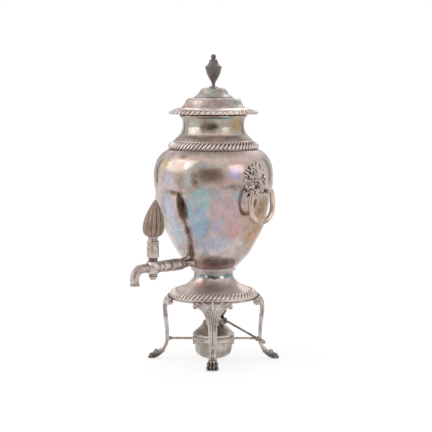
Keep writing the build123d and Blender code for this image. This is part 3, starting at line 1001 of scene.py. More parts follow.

# Most of the body's patches are painted reflections and painted highlights: the brown T and the
# brown streaks that mirror the tap's key, the pale and lilac panels of the lamps, the cream and
# gold highlights at the shoulder and the brown band low down. The large teal, pink and tan places
# are tarnish colours.
BODY_PATCHES = (
    colour_patch((10, 268, 83), (95, 95, 26), (196, 168, 154), 0.8, 0.5),
    colour_patch((0, 287, 75), (66, 60, 8), (214, 190, 178), 0.9, 0.5),
    colour_patch((20, 208, 76), (30, 26, 46), (190, 164, 168), 1.0, 0.3),
    colour_patch((28, 192, 70), (20, 20, 28), (198, 158, 154), 0.9, 0.4),
    colour_patch((2, 170, 60), (34, 30, 14), (172, 176, 194), 0.9, 0.4),
    colour_patch((-14, 232, 80), (17, 15, 20), (152, 186, 186), 1.1, 0.3),
    colour_patch((-18, 196, 73), (19, 17, 34), (152, 176, 198), 1.2, 0.35),
    colour_patch((6, 194, 71), (9, 9, 14), (178, 158, 186), 0.8, 0.3),
    colour_patch((13, 200, 73), (9, 9, 7), (180, 192, 186), 0.8, 0.3),
    colour_patch((4, 240, 82), (14, 13, 10), (172, 168, 176), 0.8, 0.4),
    colour_patch((35, 238, 82), (10, 10, 9), (160, 184, 190), 0.9, 0.3),
    colour_patch((60, 192, 70), (30, 30, 40), (180, 138, 104), 1.2, 0.35),
    colour_patch((69, 192, 70), (30, 30, 34), (172, 128, 94), 1.1, 0.3),
    colour_patch((56, 160, 58), (22, 22, 24), (176, 140, 112), 1.0, 0.4),
    colour_patch((70, 222, 79), (24, 24, 18), (150, 120, 82), 1.2, 0.3),
    colour_patch((-82, 262, 83), (15, 15, 26), (156, 132, 114), 0.9, 0.3),
    colour_patch((44, 208, 76), (9, 9, 20), (190, 168, 146), 0.8, 0.4),
    colour_patch((-12, 276, 80), (24, 22, 6), (166, 174, 164), 0.8, 0.3),
    colour_patch((-1, 264, 83), (26, 24, 9), (166, 142, 120), 1.2, 0.2),
    colour_patch((-24, 256, 82), (6.5, 6.5, 14), (126, 106, 86), 1.3, 0.2),
    colour_patch((29, 250, 82), (18, 17, 5.5), (134, 116, 106), 1.3, 0.2),
    colour_patch((31, 266, 83), (14, 13, 9), (186, 172, 204), 1.2, 0.2),
    colour_patch((-33, 259, 81), (6, 6, 17), (178, 184, 180), 1.2, 0.25),
    colour_patch((-32, 277, 79), (9, 9, 5), (240, 228, 212), 1.1, 0.3),
    colour_patch((-31, 218, 78), (6, 6, 28), (150, 180, 192), 1.1, 0.3),
    colour_patch((-42, 253, 82), (5, 5, 16), (162, 140, 124), 1.1, 0.25),
    colour_patch((-59, 258, 83), (14, 13, 16), (212, 202, 212), 1.2, 0.2),
    colour_patch((-66, 278, 80), (13, 13, 8), (230, 202, 152), 1.1, 0.3),
    colour_patch((-60, 218, 78), (17, 17, 20), (200, 200, 220), 1.2, 0.3),
    colour_patch((-50, 186, 69), (18, 18, 30), (192, 200, 212), 1.1, 0.3),
    colour_patch((-50, 213, 77), (5, 5, 14), (224, 182, 178), 0.9, 0.3),
    colour_patch((-52, 240, 82), (19, 17, 4.6), (140, 114, 92), 1.4, 0.15),
    colour_patch((-41, 224, 79), (4.5, 4.5, 17), (116, 98, 84), 1.3, 0.2),
    colour_patch((-36, 191, 70), (4, 4, 14), (118, 102, 88), 1.1, 0.2),
    colour_patch((-29, 164, 58), (4.5, 4.5, 14), (116, 98, 86), 1.1, 0.2),
    colour_patch((-39, 288, 74), (10, 10, 5), (160, 138, 124), 0.9, 0.3),
    colour_patch((-78, 255, 83), (3.6, 3.6, 28), (136, 112, 96), 1.0, 0.3),
    colour_patch((80, 262, 83), (3.2, 3.2, 18), (130, 110, 94), 1.0, 0.3),
    colour_patch((2, 142, 44), (40, 40, 7), (130, 112, 100), 0.8, 0.5),
    Patch((-0.055, 0.055, 0.235), (44, 44, 40), paint(154, 172, 180), 0.75, 0.5),
    Patch((-0.015, 0.074, 0.205), (30, 30, 34), paint(188, 156, 158), 0.75, 0.5),
    Patch((-0.074, -0.02, 0.205), (22, 22, 28), paint(188, 160, 120), 0.75, 0.5),
    Patch((0.045, 0.066, 0.258), (22, 22, 18), paint(184, 174, 204), 0.75, 0.5),
    Patch((0.06, 0.045, 0.20), (20, 20, 26), paint(160, 140, 118), 0.6, 0.4),
    Patch((-0.06, -0.05, 0.268), (22, 22, 12), paint(124, 106, 92), 0.7, 0.5),
    Patch((-0.05, 0.06, 0.278), (30, 30, 10), paint(128, 110, 98), 0.6, 0.5),
)

BODY_MATT = (Patch((0.0, 0.0, 0.2905), (96, 96, 10), strength=0.42, edge=0.7),)
NECK_MATT = (Patch((0.0, 0.0, 0.3105), (90, 90, 9), strength=0.30, edge=0.6),)
FOOT_MATT = (Patch((0.0, 0.0, 0.1000), (96, 96, 15), strength=0.26, edge=0.5),)

# The pale bands round the pot's rim and round the wick collar are painted highlights.
BURNER_PATCHES = (
    Patch((0.0, 0.0, 0.0345), (44, 44, 4.2), paint(218, 204, 196), 0.9, 0.3),
    colour_patch((2, 42, 22), (13, 12, 8), (132, 118, 110), 0.8, 0.4),
    colour_patch((22, 16, 24), (5, 8, 12), (126, 108, 104), 0.8, 0.4),
    Patch((0.0, 0.0, 0.0525), (24, 24, 2.5), paint(204, 192, 186), 0.7, 0.4),
)

# On the stem's front, the dark oval and the two white dots are a painted reflection and two painted
# highlights.
FOOT_PATCHES = (
    Patch((0.0, 0.0, 0.121), (40, 40, 7), paint(96, 126, 130), 1.2, 0.5),
    colour_patch((0, 119, 27), (17, 12, 3), (92, 80, 76), 1.1, 0.3),
    colour_patch((-9, 119.5, 27), (2.6, 2.6, 2.6), (246, 244, 240), 1.2, 0.3),
    colour_patch((12, 120, 27), (4, 4, 2.8), (246, 246, 244), 1.2, 0.3),
    colour_patch((-18, 110, 34), (12, 12, 8), (206, 164, 144), 0.75, 0.5),
    colour_patch((4, 106, 40), (20, 20, 6), (180, 158, 154), 0.7, 0.4),
    colour_patch((26, 103, 46), (18, 18, 8), (190, 188, 190), 0.6, 0.4),
    Patch((-0.03, 0.03, 0.105), (26, 26, 12), paint(184, 162, 162), 0.6),
)

LID_PATCHES = (
    colour_patch((-2, 373, 22), (18, 18, 9), (172, 180, 162), 0.75, 0.5),
    colour_patch((-12, 375, 18), (6, 6, 6), (176, 140, 124), 0.7, 0.5),
    colour_patch((-28, 358, 41), (12, 12, 7), (190, 144, 138), 0.75, 0.5),
    colour_patch((2, 360, 40), (20, 20, 6), (160, 138, 128), 0.7, 0.4),
    colour_patch((28, 360, 40), (14, 14, 8), (162, 160, 164), 0.7, 0.5),
    Patch((-0.02, 0.03, 0.36), (20, 20, 9), paint(178, 160, 148), 0.6),
)

# The neck's patches are painted reflections, tinted like the tarnish: the teal ring near the mouth,
# the brown place at the front, the gold to the right, the pale place to the left and the pale bands
# low on the flare.
NECK_PATCHES = (
    colour_patch((6, 340, 44), (32, 32, 4), (146, 176, 176), 0.8, 0.6),
    colour_patch((-7, 329, 43), (19, 16, 8.5), (112, 94, 76), 1.1, 0.3),
    colour_patch((32, 331, 43), (14, 14, 13), (170, 146, 108), 0.9, 0.4),
    colour_patch((-27, 328, 43), (12, 12, 11), (206, 208, 196), 0.7, 0.5),
    colour_patch((4, 316, 49), (30, 30, 5), (232, 206, 188), 1.0, 0.5),
    colour_patch((4, 308, 55), (44, 44, 4), (186, 158, 150), 0.6, 0.5),
)


class Palette:
    """Every finish of the urn, made once."""

    def __init__(self) -> None:
        """Makes the finishes of silver, then of wood and cotton."""
        self.body = OldSilver(
            "body silver", paint(214, 199, 194), paint(172, 156, 149), gloss=0.15, rougher=0.12,
            patches=BODY_PATCHES, matt=BODY_MATT, tint=0.4, speckle=0.22, grain=0.03).make()
        self.neck = OldSilver(
            "neck silver", paint(190, 180, 169), paint(144, 128, 117), gloss=0.14, rougher=0.10,
            patches=NECK_PATCHES, matt=NECK_MATT, tint=0.35, speckle=0.22, grain=0.03).make()
        self.pedestal = OldSilver(
            "pedestal silver", paint(228, 212, 204), paint(190, 172, 164), gloss=0.24,
            rougher=0.14, patches=FOOT_PATCHES, matt=FOOT_MATT, tint=0.3, speckle=0.25).make()
        self.lid = OldSilver(
            "lid silver", paint(214, 203, 194), paint(172, 158, 150), gloss=0.40, rougher=0.14,
            patches=LID_PATCHES, tint=0.6, speckle=0.4, hollow_grime_and_shade=0.7, grain=0.10,
            cloud=46.0).make()
        self.border = OldSilver(
            "border silver", paint(228, 215, 207), paint(186, 169, 160), gloss=0.30,
            rougher=0.14, hollow_grime_and_shade=1.0, worn=0.5, reach=2.8, grain=0.05, cloud=50.0).make()
        self.cast = OldSilver(
            "cast silver", paint(220, 208, 200), paint(172, 156, 148), gloss=0.28,
            rougher=0.16, hollow_grime_and_shade=0.85, worn=0.8, reach=2.0, grain=0.10, cloud=60.0).make()
        # The legs are darkened towards the floor with painted shade.
        self.leg = OldSilver(
            "leg silver", paint(210, 199, 193), paint(160, 146, 140), gloss=0.28,
            rougher=0.16, hollow_grime_and_shade=1.0, worn=0.7, reach=2.2, low_painted_shade=0.95, low_painted_shade_below=11.0,
            grain=0.06, cloud=45.0).make()
        self.handle = OldSilver(
            "handle silver", paint(226, 202, 186), paint(176, 152, 138), gloss=0.18,
            rougher=0.12, hollow_grime_and_shade=0.7, speckle=0.15, grain=0.04, cloud=60.0).make()
        self.tap = OldSilver(
            "tap silver", paint(210, 196, 188), paint(160, 144, 136), gloss=0.32,
            rougher=0.14, hollow_grime_and_shade=1.0, worn=0.3, reach=1.8, grain=0.08, cloud=60.0).make()
        # A darker copy of the tap's silver for the key's plug and the snuffer's arm and bell, which
        # stand in shade: painted shade.
        self.shade_darkened = OldSilver(
            "joint silver", paint(152, 142, 135), paint(104, 94, 88), gloss=0.36, hollow_grime_and_shade=0.8).make()
        self.burner = OldSilver(
            "burner silver", paint(206, 199, 190), paint(160, 150, 140), gloss=0.32,
            rougher=0.18, patches=BURNER_PATCHES, hollow_grime_and_shade=0.8, tint=0.25, grain=0.06,
            cloud=50.0).make()
        self.finial = StainedWood(
            "finial wood", paint(108, 95, 91), paint(74, 63, 60), shine=0.32, lines=500.0).make()
        self.leaf = StainedWood(
            "leaf wood", paint(156, 128, 108), paint(98, 76, 68), shine=0.30,
            hollow_grime_and_shade=0.95, lines=700.0).make()
        self.wick = CottonWick().make()


@dataclass
class Border:
    """A border of slanting lobes round a turned edge, in millimetres.

    The path runs along one lobe, from its inner to its outer end, as (radius, height, half
    thickness), and the sweep is how many degrees the lobe turns round the axis on the way.
    """

    count: int
    path: tuple[Place, ...]
    sweep: float

    def lobes(self, name: str) -> Piece:
        """Models one lobe and copies it round.

        Args:
            name: The name of the ring of lobes.

        Returns:
            The lobes as one mesh.
        """
        points = []
        for i, (radius, height, thick) in enumerate(self.path):
            turn = radians(self.sweep) * (0.5 - i / (len(self.path) - 1))
            points.append((radius * cos(turn), radius * sin(turn), height, thick))
        lobe = Bench.smooth(Bench.limb(points, 3, 3, 1), ROUND)
        places = [Matrix.Rotation(2 * pi * i / self.count, 4, "Z") for i in range(self.count)]
        return Bench.copies(name, lobe, places)


@dataclass
class Vessel:
    """The raised body, the neck and the two borders that frame them, in millimetres."""

    palette: Palette
    base: Point = (31.5, 127.0)
    body_line: tuple[Point, ...] = (
        (31.5, 131.0), (39.9, 139.4), (49.7, 150.7), (59.5, 167.7), (70.7, 190.3),
        (77.6, 218.0), (82.0, 240.0), (83.3, 255.0), (82.3, 269.5), (78.4, 281.5),
        (72.0, 290.0), (64.6, 295.2),
    )
    wall: float = 1.5
    neck_line: tuple[Point, ...] = (
        (57.4, 305.0), (52.5, 311.0), (46.9, 316.5), (43.6, 324.0), (42.7, 330.0),
        (43.6, 337.0), (46.2, 341.5),
    )
    neck_wall: float = 1.3
    collar: Border = field(default_factory=lambda: Border(66, (
        (56.4, 306.9, 0.8), (58.0, 305.5, 1.4), (59.8, 303.6, 1.8), (61.0, 301.5, 2.1),
        (61.5, 299.4, 2.1), (61.3, 297.5, 1.5)), 7.5))

    def build_body(self) -> None:
        """Turns the raised body with its flat base, lip and inside."""
        radius, floor = self.base
        outside = swept_line(self.body_line, 6)
        inside = inside_line(outside, self.wall)
        outline = [(0, floor), (radius - 0.5, floor), (radius, floor + 0.4), (radius, floor + 3.4)]
        outline += outside + [(64.0, 295.5), (57.0, 295.5), (57.0, 294.0)]
        outline += inside + [(29.5, floor + 2.0), (29.0, floor + 1.5), (0, floor + 1.5)]
        piece = Bench.turned("urn_body", outline, 160)
        Bench.finish(piece, "urn", "body_silver", self.palette.body, "vessel_body")

    def build_collar(self) -> None:
        """Turns the half-round border and sets its lobes on it."""
        seat = Bench.turned("collar_seat", [
            (56.2, 295.5), (60.4, 295.5), (60.9, 296.0), (61.1, 297.0), (61.1, 299.6),
            (60.4, 301.4), (58.8, 303.2), (56.8, 305.0), (56.2, 305.9), (56.2, 307.2),
            (55.7, 307.9), (54.9, 308.4), (54.3, 308.2), (54.2, 307.2), (56.0, 304.8),
            (56.2, 295.5)], 120)
        lobes = self.collar.lobes("collar_lobes")
        piece = Bench.joined("collar_border", [seat, lobes])
        Bench.finish(piece, "urn", "cast_silver", self.palette.border, "collar_gadroon")

    def build_neck(self) -> None:
        """Turns the waisted neck, its foot roll and the wire round its mouth."""
        outside = swept_line(self.neck_line, 6)
        outline = outside + inside_line(outside, self.neck_wall)
        piece = Bench.turned("urn_neck", outline + [outside[0]], 140)
        Bench.finish(piece, "urn", "body_silver", self.palette.neck, "neck")
        wire = [(46.0 + 1.25 * cos(a), 342.0 + 1.9 * sin(a))
                for a in [radians(t) for t in range(-15, 196, 15)]]
        rim = Bench.turned("neck_wire", wire + [wire[0]], 140)
        Bench.finish(rim, "urn", "cast_silver", self.palette.handle, "neck_rim_wire")

    def build(self) -> None:
        """Builds the vessel's pieces in order."""
        self.build_body()
        self.build_collar()
        self.build_neck()


@dataclass
class Lid:
    """The stepped lid with its skirt of lobes, its tube and the finial, in millimetres."""

    palette: Palette
    skirt: Border = field(default_factory=lambda: Border(50, (
        (56.8, 349.0, 0.7), (58.4, 348.0, 1.7), (59.9, 347.0, 2.4), (60.8, 346.3, 2.1),
        (61.3, 345.8, 1.2)), 3.0))
    rope: Border = field(default_factory=lambda: Border(76, (
        (52.6, 351.7, 0.4), (54.2, 351.0, 1.0), (55.8, 350.0, 1.0), (57.0, 349.2, 0.5)), 4.0))

    def build_skirt(self) -> None:
        """Turns the skirt with its raised line, and sets its lobes."""
        outline = [
            (40.4, 352.4), (46.0, 352.4), (53.0, 348.8), (59.0, 345.4), (60.2, 345.0),
            (60.6, 345.3), (60.4, 346.0), (59.4, 346.7), (58.0, 347.7), (56.4, 348.9),
            (54.4, 350.8), (52.4, 352.0), (50.6, 352.9), (48.6, 353.5), (47.0, 353.8),
            (46.0, 353.9), (45.4, 353.6), (40.4, 353.6), (40.4, 352.4),
        ]
        seat = Bench.turned("skirt_seat", outline, 140)
        piece = Bench.joined("lid_skirt", [
            seat, self.skirt.lobes("skirt_lobes"), self.rope.lobes("skirt_rope")])
        Bench.finish(piece, "lid", "lid_silver", self.palette.border, "lid_flange")

    def build_dome(self) -> None:
        """Turns the two steps of the dome with the engraved lines between them."""
        lower = swept_line([(45.2, 353.6), (43.6, 355.4), (41.4, 357.6), (39.6, 360.6),
                            (38.2, 363.6), (36.0, 366.0)], 4)
        upper = swept_line([(26.6, 368.8), (24.4, 370.4), (21.4, 372.6), (19.0, 376.2),
                            (16.4, 379.6), (12.0, 381.2)], 4)
        step = [(35.2, 366.5), (34.0, 367.0), (29.4, 367.5), (28.2, 367.5), (27.6, 367.0),
                (26.6, 366.8), (26.5, 367.4), (27.2, 367.9), (27.2, 368.4)]
        outside = lower + step + upper + [(6.0, 381.5), (1.6, 381.5)]
        inside = [(1.6, 380.3), (12.0, 380.0), (15.0, 378.6), (17.6, 375.2), (20.4, 371.4),
                  (23.6, 368.8), (25.0, 366.0), (34.8, 365.2), (37.2, 362.4), (39.4, 358.0),
                  (43.8, 353.6)]
        piece = Bench.turned("lid_dome_steps", outside + inside + [outside[0]], 120)
        Bench.finish(piece, "lid", "lid_silver", self.palette.lid, "lid_dome")

    def build_inside(self) -> None:
        """Smooths the tube that centres the lid, the stud and its nut."""
        Bench.dressed("lid_bezel", "lid_tube", "lid", "lid_silver", self.palette.lid)
        Bench.dressed("finial_stud", "finial_screw", "lid", "finial_dark", self.palette.burner)
        nut = Bench.from_solid("finial_nut", "finial_screw_nut")
        Bench.modify(nut, "BEVEL", width=0.3 * MM, segments=2)
        Bench.finish(nut, "lid", "finial_dark", self.palette.burner, "finial_nut")

    def build_finial(self) -> None:
        """Turns the finial: its plate, then the spool, urn, disc and ball of wood."""
        plate = [(1.6, 381.4), (5.8, 381.4), (6.1, 381.8), (6.0, 382.5), (4.8, 383.4),
                 (2.6, 384.2), (1.6, 384.2), (1.6, 381.4)]
        spool = [(1.6, 384.1), (2.6, 384.2), (2.1, 385.2), (2.0, 386.0), (2.3, 386.6),
                 (2.9, 387.0), (2.9, 388.0), (2.3, 388.7), (1.6, 388.7), (1.6, 384.1)]
        bowl = swept_line([(2.6, 388.7), (4.4, 391.2), (6.1, 394.2), (8.0, 397.8),
                           (9.7, 401.8), (10.9, 406.4)], 5)
        rest = [(11.1, 407.8), (11.4, 408.2), (11.4, 410.5), (11.1, 411.0), (9.8, 411.6),
                (8.4, 412.8), (7.0, 414.8), (6.1, 417.0), (5.9, 418.0), (0, 418.0)]
        disc = [(0, 418.0), (5.0, 418.0), (5.5, 418.4), (5.6, 419.2), (5.2, 419.8),
                (4.2, 420.4), (2.0, 420.8), (0, 420.8)]
        ball = [(3.7 * sin(radians(a)), 423.9 - 3.7 * cos(radians(a))) for a in range(40, 180, 10)]
        metal, wood = self.palette.lid, self.palette.finial
        for name, outline, steps, finish, *nodes in (
                ("finial_plate", plate, 48, metal, "finial_foot"),
                ("finial_spool", spool, 48, wood),
                ("finial_vase", [(0, 388.7)] + bowl + rest, 72, wood, "finial_urn"),
                ("finial_disc", disc, 48, wood, "finial_cap"),
                ("finial_bead", [(0, 420.8), (1.9, 420.8)] + ball + [(0, 427.6)], 40, wood,
                 "finial_ball")):
            piece = Bench.turned(name, outline, steps)
            Bench.finish(piece, "lid", "finial_dark", finish, *nodes)

    def build(self) -> None:
        """Builds the lid's pieces in order."""
        self.build_skirt()
        self.build_dome()
        self.build_inside()
        self.build_finial()


@dataclass
class Foot:
    """The stem, the domed foot and its border, in millimetres."""

    palette: Palette
    line: tuple[Point, ...] = (
        (53.5, 99.0), (48.0, 102.0), (41.0, 104.8), (34.2, 109.4), (29.4, 114.8),
        (27.3, 119.5), (27.6, 123.0), (28.9, 127.0),
    )
    wall: float = 1.4
    border: Border = field(default_factory=lambda: Border(60, (
        (53.0, 99.4, 0.8), (54.6, 98.5, 1.4), (57.0, 96.7, 2.0), (59.2, 94.2, 2.1),
        (60.3, 92.6, 1.6), (60.6, 91.8, 0.8)), 8.0))

    def build(self) -> None:
        """Turns the stem and dome, then the border and the band under it."""
        outside = swept_line(self.line, 6)
        outline = outside + inside_line(outside, self.wall) + [outside[0]]
        stem = Bench.turned("foot_dome", outline, 120)
        Bench.finish(stem, "urn", "body_silver", self.palette.pedestal, "pedestal")
        seat = Bench.turned("foot_seat", [
            (53.4, 99.0), (54.0, 98.8), (56.8, 96.8), (59.0, 94.6), (60.4, 92.4), (61.4, 91.8),
            (61.6, 91.0), (60.2, 91.0), (53.8, 97.2), (53.4, 98.0), (53.4, 99.0)], 120)
        lobes = self.border.lobes("foot_lobes")
        piece = Bench.joined("foot_border", [seat, lobes])
        Bench.finish(piece, "urn", "cast_silver", self.palette.border, "foot_gadroon")
        band = Bench.turned("foot_band", [
            (60.0, 87.0), (61.4, 87.0), (61.8, 87.4), (61.8, 88.0), (61.4, 88.4), (61.4, 90.0),
            (61.8, 90.4), (61.8, 91.0), (60.0, 91.0), (60.0, 87.0)], 140)
        Bench.finish(band, "urn", "cast_silver", self.palette.cast, "foot_rim")


@dataclass
class Legs:
    """Four cast legs with leaf capitals, reeded shafts and lion's paws, in millimetres."""

    palette: Palette
    reeds: tuple[float, ...] = (-4.7, -1.6, 1.6, 4.7)
    toes: tuple[float, ...] = (-6.4, -2.15, 2.15, 6.4)
    voxel: float = 0.42
    core_voxel: float = 0.9
    lean: float = 0.7
    paw_cut: tuple[Place, Place] = ((0.0725, 0, 0.0125), (0.8, 0, -0.6))
    sole_cut: tuple[Place, Place] = ((0, 0, 0.00002), (0, 0, 1))
    swell: tuple[Point, ...] = (
        (60.0, 70.2), (66.0, 71.0), (75.0, 71.8), (82.2, 70.8), (87.6, 68.4), (90.0, 65.8),
        (93.0, 63.6),
    )

    def skin(self, y: float, z: float) -> float:
        """How far out the plain capital is at a point of its face.

        Args:
            y: How far the point is to the side of the leg's middle.
            z: The point's height.

        Returns:
            The distance from the urn's axis along the leg's direction.
        """
        for (low, near), (high, far) in zip(self.swell, self.swell[1:]):
            if z <= high:
                break
        return sqrt((near + (far - near) * (z - low) / (high - low)) ** 2 - y ** 2)

    def reeding(self) -> list[Piece]:
        """Makes the upright reeds of the shaft, and the prongs and bead below them.

        Returns:
            The pieces.
        """
        made = []
        for y in self.reeds:
            made.append(Bench.limb([
                (66.3, y * 0.80, 21.0, 0.8), (66.6, y * 0.86, 26.0, 1.3),
                (66.7, y * 0.96, 38.0, 1.45), (67.3, y * 1.03, 50.0, 1.5),
                (68.7, y * 1.08, 57.0, 1.5), (69.4, y * 1.1, 61.0, 1.4)]))
        for side in SIDES:
            made.append(Bench.limb([
                (67.0, side * 1.4, 27.5, 0.7), (67.4, side * 2.8, 23.0, 1.2),
                (68.6, side * 3.2, 18.6, 1.35), (71.4, side * 3.4, 14.8, 1.4),
                (75.4, side * 3.8, 12.6, 1.4)]))
        made.append(Bench.ball((67.4, 0, 27.6), (1.3, 1.5, 1.9)))
        return made

    def ribs(self) -> list[Piece]:
        """Makes the ribs of the leaf that spread from the band to the foot's rim.

        Returns:
            The ribs and the scrolls at their ends.
        """
        lines = (
            ((2.2, 62.0, 1.0), (2.7, 68.0, 1.15), (3.6, 75.0, 1.3), (5.6, 81.0, 1.35),
             (8.4, 85.6, 1.35), (11.6, 88.8, 1.2), (14.6, 91.4, 1.0)),
            ((4.6, 62.0, 1.0), (5.4, 68.0, 1.15), (7.0, 75.0, 1.35), (10.2, 80.8, 1.4),
             (14.4, 85.0, 1.35), (18.8, 87.8, 1.25), (22.6, 89.6, 1.1)),
            ((6.8, 61.5, 1.1), (7.6, 67.0, 1.2), (9.4, 72.8, 1.3), (12.4, 78.0, 1.4),
             (16.2, 81.8, 1.5), (19.4, 84.0, 1.6), (23.0, 85.2, 1.7)),
        )
        made = [self.rib(((0.0, 61.0, 1.0), (0.0, 68.0, 1.1), (0.0, 76.0, 1.5),
                          (0.0, 84.0, 1.8), (0.0, 88.6, 1.6), (0.0, 92.2, 1.1)))]
        for side in SIDES:
            made += [self.rib([(side * y, z, size) for y, z, size in line]) for line in lines]
            made.append(Bench.ball((60.8, side * 24.2, 83.4), (3.6, 3.2, 3.3)))
            made.append(Bench.ball((64.2, side * 24.6, 83.2), (1.4, 1.7, 1.7)))
        return made

    def rib(self, line: Sequence[Place]) -> Piece:
        """One rib, half sunk in the capital.

        Args:
            line: Its points, as (width, height, half thickness).

        Returns:
            The rib.
        """
        return Bench.limb([(self.skin(y, z) - 0.7 * size, y, z, size) for y, z, size in line])

    def band(self) -> list[Piece]:
        """Makes the double ring between the shaft and the leaf.

        Returns:
            The two rings.
        """
        made = []
        for z, half, thick in ((62.0, 7.4, 0.95), (59.9, 7.1, 0.6)):
            made.append(Bench.limb([
                (64.6, -half, z, thick * 0.9), (68.2, -half, z, thick),
                (70.0, -half * 0.8, z, thick), (70.5, 0, z, thick), (70.0, half * 0.8, z, thick),
                (68.2, half, z, thick), (64.6, half, z, thick * 0.9)], order=3))
        return made

    def paw(self) -> list[Piece]:
        """Makes the pad and the four toes with their knuckles and claws.

        Returns:
            The pieces.
        """
        made = []
        for y in (-4.0, 0.0, 4.0):
            made.append(Bench.limb([
                (70.2, y * 0.5, 12.6, 2.8), (73.4, y * 0.6, 10.4, 3.2), (77.6, y * 0.8, 7.6, 3.8),
                (82.0, y, 5.0, 3.9), (86.0, y, 3.2, 2.9), (88.4, y, 2.2, 2.0)]))
        for y in self.toes:
            inner = abs(y) < 3
            rise, near, wide = (0.0, 0.0, 1.0) if inner else (-1.7, 1.4, 0.92)
            made.append(Bench.limb([
                (71.0, y * 0.5, 12.8 + rise * 0.3, 1.3), (75.0, y * 0.7, 11.6 + rise * 0.6, 1.5),
                (79.0, y * 0.9, 11.0 + rise, 1.4), (84.0, y, 9.0 + rise, 1.25),
                (87.0 - near, y * 1.03, 6.6 + rise * 0.7, 1.3),
                (90.0 - near, y * 1.03, 3.4, 1.5), (90.6 - near, y * 1.03, 1.2, 1.4)]))
            made.append(Bench.ball((81.6 - near * 0.6, y * 0.98, 11.0 + rise),
                                   (2.7, 2.15 * wide, 2.3 * wide)))
            made.append(Bench.ball((88.6 - near, y * 1.04, 5.0 + rise * 0.5),
                                   (2.6, 2.2 * wide, 2.4 * wide)))
            made.append(Bench.limb([
                (90.4 - near, y * 1.04, 3.6, 0.9), (92.2 - near, y * 1.04, 2.8, 0.9),
                (92.9 - near, y * 1.04, 1.4, 0.6), (92.6 - near, y * 1.04, 0.6, 0.3)]))
        return made

    def casting(self) -> Piece:
        """Melts the solid leg and its ornament into one casting, standing along +X.

        Returns:
            The casting.
        """
        core = Bench.from_solid("leg_front_right", "leg_core")
        Bench.moved(core, Matrix.Rotation(radians(45), 4, "Z"))
        Bench.modify(core, "REMESH", mode="VOXEL", voxel_size=self.core_voxel * MM)
        Bench.modify(core, "DISPLACE", strength=-self.lean * MM, mid_level=0.0)
        Bench.trimmed(core, *self.paw_cut, outer=True)
        pieces = [core] + self.reeding() + self.ribs() + self.band() + self.paw()
        leg = Bench.fused("leg_casting", pieces, self.voxel)
        return Bench.trimmed(leg, *self.sole_cut, outer=False)

    def build(self) -> None:
        """Makes the casting once and sets a copy at each corner, with its stretcher."""
        leg = self.casting()
        for corner in Corner:
            name = corner.name.lower()
            turn = Matrix.Rotation(radians(corner.value), 4, "Z")
            piece = Bench.twin("leg_cast_" + name, leg, turn)
            Bench.finish(piece, "urn", "cast_silver", self.palette.leg, "leg_" + name)
            tie = self.stretcher(name, turn)
            Bench.finish(tie, "urn", "burner_silver", self.palette.tap, "stretcher_" + name)
        bpy.data.objects.remove(leg)

    def stretcher(self, name: str, turn: Matrix) -> Piece:
        """The tie rod from the burner's ring to the leg, with its turned collar.

        Args:
            name: The leg's name.
            turn: The turn from +X to the leg.

        Returns:
            The rod.
        """
        outline = [(0, 29.5), (1.7, 29.5), (1.7, 57.6), (2.3, 58.2), (2.4, 59.4), (1.9, 60.2),
                   (2.4, 60.7), (3.1, 61.0), (3.2, 61.8), (2.9, 62.6), (0, 62.6)]
        along = turn @ Vector((1, 0, 0))
        return Bench.turned("tie_" + name, outline, 28, (0, 0, 28.8), tuple(along))


